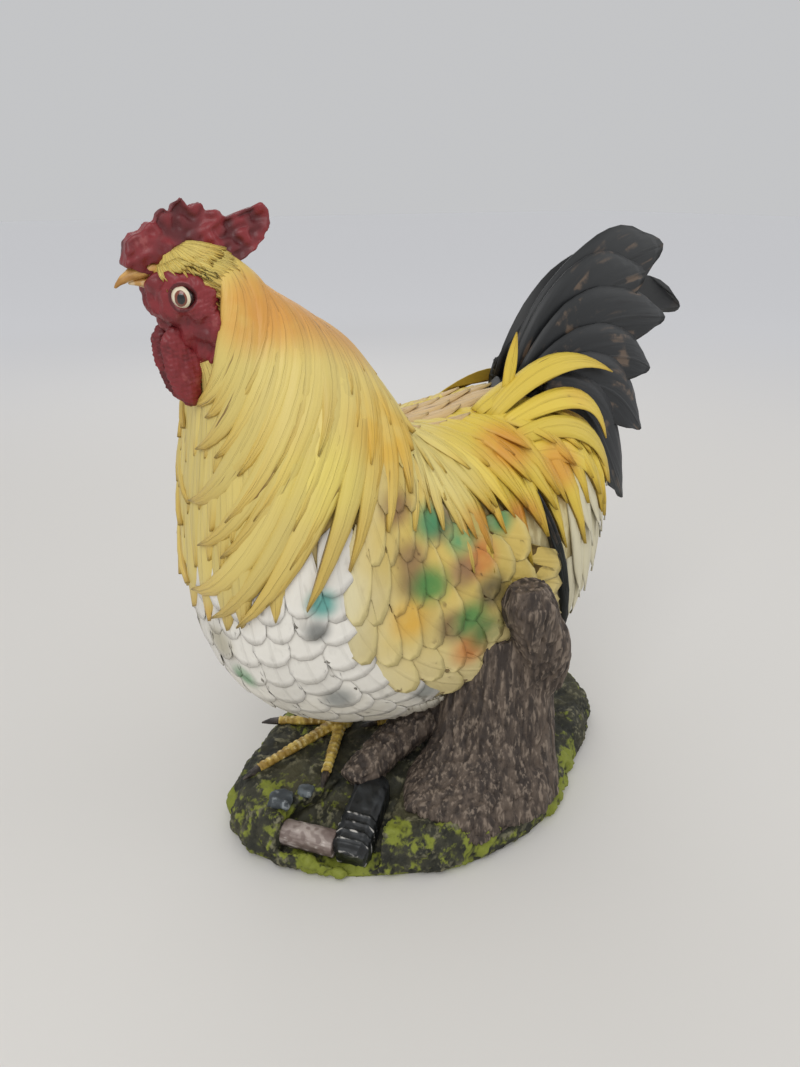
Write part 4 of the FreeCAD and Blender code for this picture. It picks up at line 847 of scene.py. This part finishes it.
# ---- pieces carved from the solids ----
def waves(points, size, seed, stretch=(1, 1, 1)):
    """Smooth random waves about size millimetres long, between -1 and 1."""
    draw = np.random.default_rng(seed)
    scaled = points / np.asarray(stretch)
    total = np.zeros(len(points))
    for _ in range(14):
        way = draw.normal(size=3)
        way /= np.linalg.norm(way)
        waviness = 2 * np.pi / (size / 1000) * draw.uniform(0.6, 1.5)
        total += np.sin(scaled @ way * waviness + draw.uniform(0, 6.28))
    return np.tanh(total / 3.2)


def swells(points, size, seed, stretch=(1, 1, 1)):
    """The same waves between 0 and 1."""
    return waves(points, size, seed, stretch) * 0.5 + 0.5


def carved(name, nodes, voxel, rounds, slot, material, carve):
    """A copy of solids, remeshed at voxel millimetres, smoothed and then carved.

    carve(points, normals) gives the depth in metres along the normals, or the whole shift, and the attributes.
    """
    bm = bmesh.new()
    for node in nodes:
        bm.from_mesh(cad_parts[node].data)
    bmesh.ops.remove_doubles(bm, verts=bm.verts, dist=1e-6)
    rough = bpy.data.objects.new(name + "_raw", to_mesh(bm, name))
    bpy.context.scene.collection.objects.link(rough)
    remesh = rough.modifiers.new("remesh", "REMESH")
    remesh.mode, remesh.voxel_size = "VOXEL", voxel / 1000
    smooth = rough.modifiers.new("smooth", "SMOOTH")
    smooth.factor, smooth.iterations = 0.5, rounds
    bpy.context.view_layer.update()
    made = bpy.data.meshes.new_from_object(rough.evaluated_get(bpy.context.evaluated_depsgraph_get()))
    bpy.data.objects.remove(rough)
    points = coordinates(made)
    normals = np.array([v.normal for v in made.vertices])
    depth, attributes = carve(points, normals)
    shift = normals * depth[:, None] if depth.ndim == 1 else depth
    made.vertices.foreach_set("co", (points + shift).ravel())
    return finish_piece(name, made, slot, material, nodes, attributes)


COMB_ROOT_X, COMB_ROOT_Z = -0.140, 0.330        # the folds of the comb fan out from here


def carve_comb(points, normals):
    """Folds run up from the root into each tooth, with bumps between them, and the teeth are thinned."""
    angle = np.arctan2(points[:, 2] - COMB_ROOT_Z, -(points[:, 0] - COMB_ROOT_X))
    folds = np.sin(angle * 13 + 1.6 * waves(points, 24, 3)) * 0.5 + 0.5
    bumps = swells(points, 7.5, 4)
    fold = 0.75 * folds + 0.25 * bumps
    upper = share((points[:, 2] - 0.376) / 0.012)
    shift = normals * ((fold - 0.55) * 0.0052 * upper * np.abs(normals[:, 1]) + (bumps - 0.5) * 0.0008)[:, None]
    shift[:, 1] -= (points[:, 1] - MIDDLE_Y) * 0.30 * share((points[:, 2] - 0.386) / 0.020)
    return shift, {"fold": fold}


def carve_lobe(points, normals):
    """Long soft puffs with pimples on them."""
    fold = 0.75 * swells(points, 14, 8, (1, 1, 2.2)) + 0.25 * swells(points, 3.0, 9)
    return (fold - 0.5) * 0.0032, {"fold": fold}


def carve_soft(size, depth, seed):
    """Gentle swells, with their size and depth in millimetres."""
    def carve(points, normals):
        fold = swells(points, size, seed)
        return (fold - 0.5) * depth / 1000, {"fold": fold}
    return carve


def scutes(distance, pitch):
    """Rings between 0 in a groove and 1 on a scute."""
    return np.abs(np.sin(np.pi * distance / pitch)) ** 0.5


SCUTE_DEPTH = 0.0011


def carve_foot(x, y):
    """Ring scutes across each toe, with a groove every 5 mm, and a plain sole."""
    def carve(points, normals):
        rings = scutes(np.hypot(points[:, 0] - x, points[:, 1] - y), 0.0052)
        fold = np.where(normals[:, 2] > -0.3, rings, 0.5)
        return (fold - 0.75) * SCUTE_DEPTH, {"fold": fold}
    return carve


def carve_leg(points, normals):
    fold = scutes(points[:, 2], 0.0056)
    return (fold - 0.75) * SCUTE_DEPTH, {"fold": fold}


def carve_bark(points, normals):
    """Long upright cracks between plates, calmer at the top of the trunk and on the branch."""
    upright = np.stack([points[:, 0], points[:, 1], points[:, 2] / 7], 1)
    crack = share(np.abs(waves(upright, 13, 21)) * 3.0)
    fine = share(np.abs(waves(upright, 5, 22)) * 2.4)
    fold = share(0.65 * crack + 0.35 * fine)
    calm = np.clip((0.205 - points[:, 2]) / 0.03, 0.25, 1)
    return ((fold - 0.8) * 0.0034 + waves(points, 42, 23) * 0.0012) * calm, {"fold": fold}


def carve_ground(points, normals):
    """Rocky earth on top, tufts of moss along the rim, and a flat underside."""
    edge = np.hypot(points[:, 0] / 0.160, (points[:, 1] + 0.002) / 0.106)
    rocks, tufts = swells(points, 21, 31), swells(points, 9, 33)
    grit = share(np.abs(waves(points, 7, 32)) * 2)
    rim = share((edge - 0.80) / 0.12)
    patches = share(waves(points, 55, 34) * 1.3 + 0.1)
    moss = share(0.75 * rim * patches + 0.30 * rim + 0.25 * patches)
    fold = share(0.45 * rocks + 0.35 * grit + 0.2 * tufts)
    lift = (fold - 0.55) * 0.0042 + moss * (tufts - 0.4) * 0.0034
    return lift * share((points[:, 2] - 0.0015) / 0.003), {"fold": fold, "moss": moss}


POLL_X, POLL_Y, HATCHET_TURN = -0.1045, -0.066, math.radians(40)


def carve_iron(points, normals):
    """Hammered sides, and three forged ridges across the poll."""
    along = (points[:, 0] - POLL_X) * math.cos(HATCHET_TURN) + (points[:, 1] - POLL_Y) * math.sin(HATCHET_TURN)
    ridges = share(1 - np.abs(((along + 0.004) % 0.0055) - 0.00275) / 0.0013) * (along < 0.0125)
    hammer = swells(points, 9, 41)
    fold = share(0.55 * hammer + 0.9 * ridges)
    return (hammer - 0.5) * 0.0006 + ridges * 0.0009, {"fold": fold}


# ---- head ----
# Outline of the bare skin over the head: around and along, from the beak over the eye to the throat.
FACE_OUTLINE = np.array([
    (0.000, 0.962), (0.012, 0.984), (0.080, 0.993), (0.165, 0.990), (0.232, 0.978), (0.252, 0.958), (0.240, 0.932),
    (0.205, 0.912), (0.150, 0.899), (0.080, 0.890), (0.000, 0.890), (0.000, 0.930)])
FACE_MIDDLE = np.array([0.115, 0.944])
FACE_SCALE = np.array([1, 6])       # along is so much longer than around on the face
EYE = (0.171, 0.960)
EYE_RADII = 0.0062, 0.0060, 0.0062  # level, upright and outwards
# The closed beak: way from the root to the tip, centre height, half width, reach up and reach down, millimetres.
UPPER_BEAK = np.array([(-158, 380, 8.5, 6.0, 4.0), (-166, 380.5, 8.4, 6.0, 4.2), (-174, 380, 7.2, 5.2, 4.0),
                       (-182, 377.5, 4.8, 4.2, 3.0), (-188, 374.5, 2.4, 2.6, 1.9), (-191.5, 371.8, 0.7, 0.8, 1.2)])
LOWER_BEAK = np.array([(-156, 371.5, 7.4, 4.6, 4.6), (-164, 371.8, 7.2, 4.4, 4.2), (-172, 372.4, 6.0, 3.6, 3.3),
                       (-177, 373.4, 4.0, 3.0, 2.3), (-181, 373.4, 2.4, 2.0, 1.2), (-184, 373.2, 0.8, 0.8, 0.5)])


def mound(around, along, centre, reach):
    """A smooth hill on the skin, 1 at its centre."""
    return np.exp(-((around - centre[0]) / reach[0]) ** 2 - ((along - centre[1]) / reach[1]) ** 2)


def face_skin(side):
    """Puffy bare skin from the comb to the throat, raised as a lid round the eye and as a lobe on the cheek."""
    bm = bmesh.new()
    bmesh.ops.create_grid(bm, x_segments=64, y_segments=64, size=1.0)
    thickened(bm)
    flat = np.array([v.co for v in bm.verts])
    square = np.abs(flat[:, :2]).max(axis=1)
    angle = np.arctan2(flat[:, 1], flat[:, 0])
    spokes = (FACE_OUTLINE - FACE_MIDDLE) * FACE_SCALE
    turns = np.arctan2(spokes[:, 1], spokes[:, 0])
    order = np.argsort(turns)
    length = np.interp(angle, turns[order], np.hypot(*spokes[order].T), period=2 * np.pi)
    around = FACE_MIDDLE[0] + square * length * np.cos(angle)
    along = FACE_MIDDLE[1] + square * length * np.sin(angle) / FACE_SCALE[1]
    base = skin(-side * around, along, np.zeros(len(flat)))
    gap = np.linalg.norm(base - skin(-side * EYE[0], EYE[1], 0.0), axis=1) * 1000
    puffs, pimples, curls = swells(base, 12, 51), swells(base, 2.6, 52), np.abs(waves(base, 3.4, 53))
    cheek = mound(around, along, (0.200, 0.924), (0.040, 0.014))
    ear = mound(around, along, (0.232, 0.936), (0.018, 0.010))
    lid = np.exp(-((gap - 6.6) / 1.1) ** 2)
    inside = share((5.6 - gap) / 1.5)
    # The skin thins out along its edge, but not where both halves meet.
    seam = np.where(around < 0.02, 1.0, share((1 - square) / 0.10) ** 0.6)
    height = (2.2 + 3.6 * (puffs - 0.5) + 0.7 * (pimples - 0.5) + 2.6 * cheek + 1.2 * lid - 1.2 * inside
              + 1.6 * ear * (curls - 0.4)) * seam
    height = np.where(flat[:, 2] > 0.5, height, -0.8)
    placed(bm, skin(-side * around, along, height / 1000))
    ring = np.exp(-((gap - 6.0) / 0.8) ** 2)
    fold = share(0.25 + 0.5 * puffs + 0.2 * pimples + 0.2 * cheek - 0.9 * ring - 0.5 * ear * (0.6 - curls))
    return to_mesh(bm, "face_skin", outward=True), {"fold": fold * share(0.4 + seam)}


def beak(rows):
    """One half of the beak: a ball drawn out along the rows."""
    bm = bmesh.new()
    bmesh.ops.create_uvsphere(bm, u_segments=28, v_segments=40, radius=1.0)
    way = np.linspace(0, 1, len(rows))
    for vert in bm.verts:
        x, y, z = vert.co
        reach_x, centre, half, up, down = (np.interp(0.5 - z / 2, way, column) for column in rows.T)
        ring = math.hypot(x, y) or 1.0
        tight = min(1.0, math.hypot(x, y) * 2.2)
        side, high = x / ring * tight, y / ring * tight
        vert.co = (reach_x / 1000, MIDDLE_Y + side * half / 1000, (centre + high * (up if high > 0 else down)) / 1000)
    return to_mesh(bm, "beak", outward=True)


def eyeball(side, word):
    centre = Vector(skin(-side * EYE[0], EYE[1], 0.0003))
    out = (Vector(skin(-side * EYE[0], EYE[1], 0.0103)) - centre).normalized()
    level = out.cross(Vector((0, 0, 1))).normalized()
    upright = level.cross(out)
    bm = bmesh.new()
    bmesh.ops.create_uvsphere(bm, u_segments=32, v_segments=18, radius=1.0)
    for vert in bm.verts:
        x, y, z = vert.co
        vert.co = (centre + out * (EYE_RADII[2] * z - 0.0002) + level * (EYE_RADII[0] * x)
                   + upright * (EYE_RADII[1] * y))
    finish_piece("eyeball_" + word, to_mesh(bm, "eyeball", outward=True), "eye", eye_paint(word, centre, out),
                 ["eye_" + word])


carved("comb_cast", ["comb"], 0.9, 4, "red_skin", FLESH, carve_comb)
for side, word in SIDES:
    mesh, attributes = face_skin(side)
    finish_piece("face_skin_" + word, mesh, "red_skin", FLESH, ["face_" + word], attributes)
for name, rows, node in (("beak_top", UPPER_BEAK, "beak_upper"), ("beak_bottom", LOWER_BEAK, "beak_lower")):
    mesh = beak(rows)
    finish_piece(name, mesh, "beak_horn", BEAK, [node], {"fold": 0.7 + 0.25 * waves(coordinates(mesh), 7, 10)})
for _, word in SIDES:
    carved("wattle_lobe_" + word, ["wattle_" + word], 0.8, 4, "red_skin", FLESH, carve_lobe)
    low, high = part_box("leg_" + word)
    ankle = (low + high) / 2
    carved("foot_scutes_" + word, ["foot_" + word], 0.8, 2, "leg_scales", LEG, carve_foot(ankle.x, ankle.y))
    carved("leg_scutes_" + word, ["leg_" + word], 0.8, 2, "leg_scales", LEG, carve_leg)
    carved("claw_points_" + word, ["claws_" + word], 0.45, 2, "claw", CLAW, carve_soft(6, 0.2, 12))
carved("tree_stump", ["stump", "branch_stub", "arched_root"], 1.5, 3, "bark", BARK, carve_bark)
carved("mossy_ground", ["base"], 2.0, 2, "moss_ground", GROUND, carve_ground)
carved("haft_wood", ["hatchet_haft"], 0.9, 2, "haft_wood", HAFT, carve_soft(6, 0.5, 14))
carved("hatchet_iron", ["hatchet_head"], 0.7, 3, "hatchet_iron", IRON, carve_iron)
carved("grey_stones", ["stones"], 0.9, 3, "stone_grey", STONE, carve_soft(9, 1.2, 15))
for side, word in SIDES:
    eyeball(side, word)

# The solids inside stay as they are and only get a material.
for node, material in (("leg_rod_left", STEEL), ("leg_rod_right", STEEL), ("tail_dowel", DOWEL), ("tail_core", TAIL)):
    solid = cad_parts[node].data
    solid.materials.clear()
    solid.materials.append(material)

# ---- floor, light and camera ----
SCENE = bpy.context.scene
AIM = Vector((-0.02, 0, 0.2))
# Each lamp: its place, the side of its square in metres and its power in watts.
LAMPS = (("key", (-0.9, -0.9, 1.5), 1.1, 11.5), ("fill", (1.1, -0.5, 1.0), 1.2, 2.6),
         ("rear", (0.5, 1.2, 1.1), 1.0, 3.2))
ROOM_LIGHT, ROOM_SEEN = 0.72, 0.62      # how bright the room is as light, and as the camera and shiny paint see it
CAMERA_PLACE, CAMERA_DIP, CAMERA_LENS, SENSOR = (-0.2956, -0.4294, 0.420), math.radians(23.4), 27.0, 36.0
HEADING_X, HEADING_Y = 0.530, 0.848     # the camera's way over the floor


def in_scene(name, data, place, way=None):
    """An object of the scene itself, facing a way if one is given."""
    made = bpy.data.objects.new(name, data)
    made.location = place
    if way:
        made.rotation_euler = way.to_track_quat("-Z", "Y").to_euler()
    SCENE.collection.objects.link(made)
    return made


bm = bmesh.new()
bmesh.ops.create_grid(bm, x_segments=1, y_segments=1, size=12.0)
floor = in_scene("floor", to_mesh(bm, "floor"), (0, 0, 0))
pale = Paint("pale_floor", 0.7, "#DAD7D2")
pale.coat("#EFEFF1", pale.ramp(pale.vector("LENGTH", pale.place), 0.6, 2.6))
floor.data.materials.append(pale.done())

world = bpy.data.worlds.new("soft_room")
SCENE.world = world
world.use_nodes = True
backdrop = world.node_tree.nodes["Background"]
backdrop.inputs["Color"].default_value = srgb("#F2F3F5")
rays = add(world.node_tree, "ShaderNodeLightPath").outputs
seen = rays["Is Camera Ray"]
for other in ("Is Glossy Ray", "Is Transmission Ray"):
    seen = add(world.node_tree, "ShaderNodeMath", ((0, seen), (1, rays[other])), operation="MAXIMUM").outputs[0]
strength = add(world.node_tree, "ShaderNodeMapRange", ((0, seen), (3, ROOM_LIGHT), (4, ROOM_SEEN))).outputs[0]
world.node_tree.links.new(strength, backdrop.inputs["Strength"])

for name, place, size, power in LAMPS:
    light = bpy.data.lights.new(name, "AREA")
    light.size, light.energy = size, power
    in_scene(name, light, place, AIM - Vector(place))

camera_data = bpy.data.cameras.new("photo_camera")
camera_data.lens, camera_data.sensor_width = CAMERA_LENS, SENSOR
level = math.cos(CAMERA_DIP)
SCENE.camera = in_scene("photo_camera", camera_data, CAMERA_PLACE,
                        Vector((HEADING_X * level, HEADING_Y * level, -math.sin(CAMERA_DIP))))
SCENE.view_settings.view_transform = "Standard"
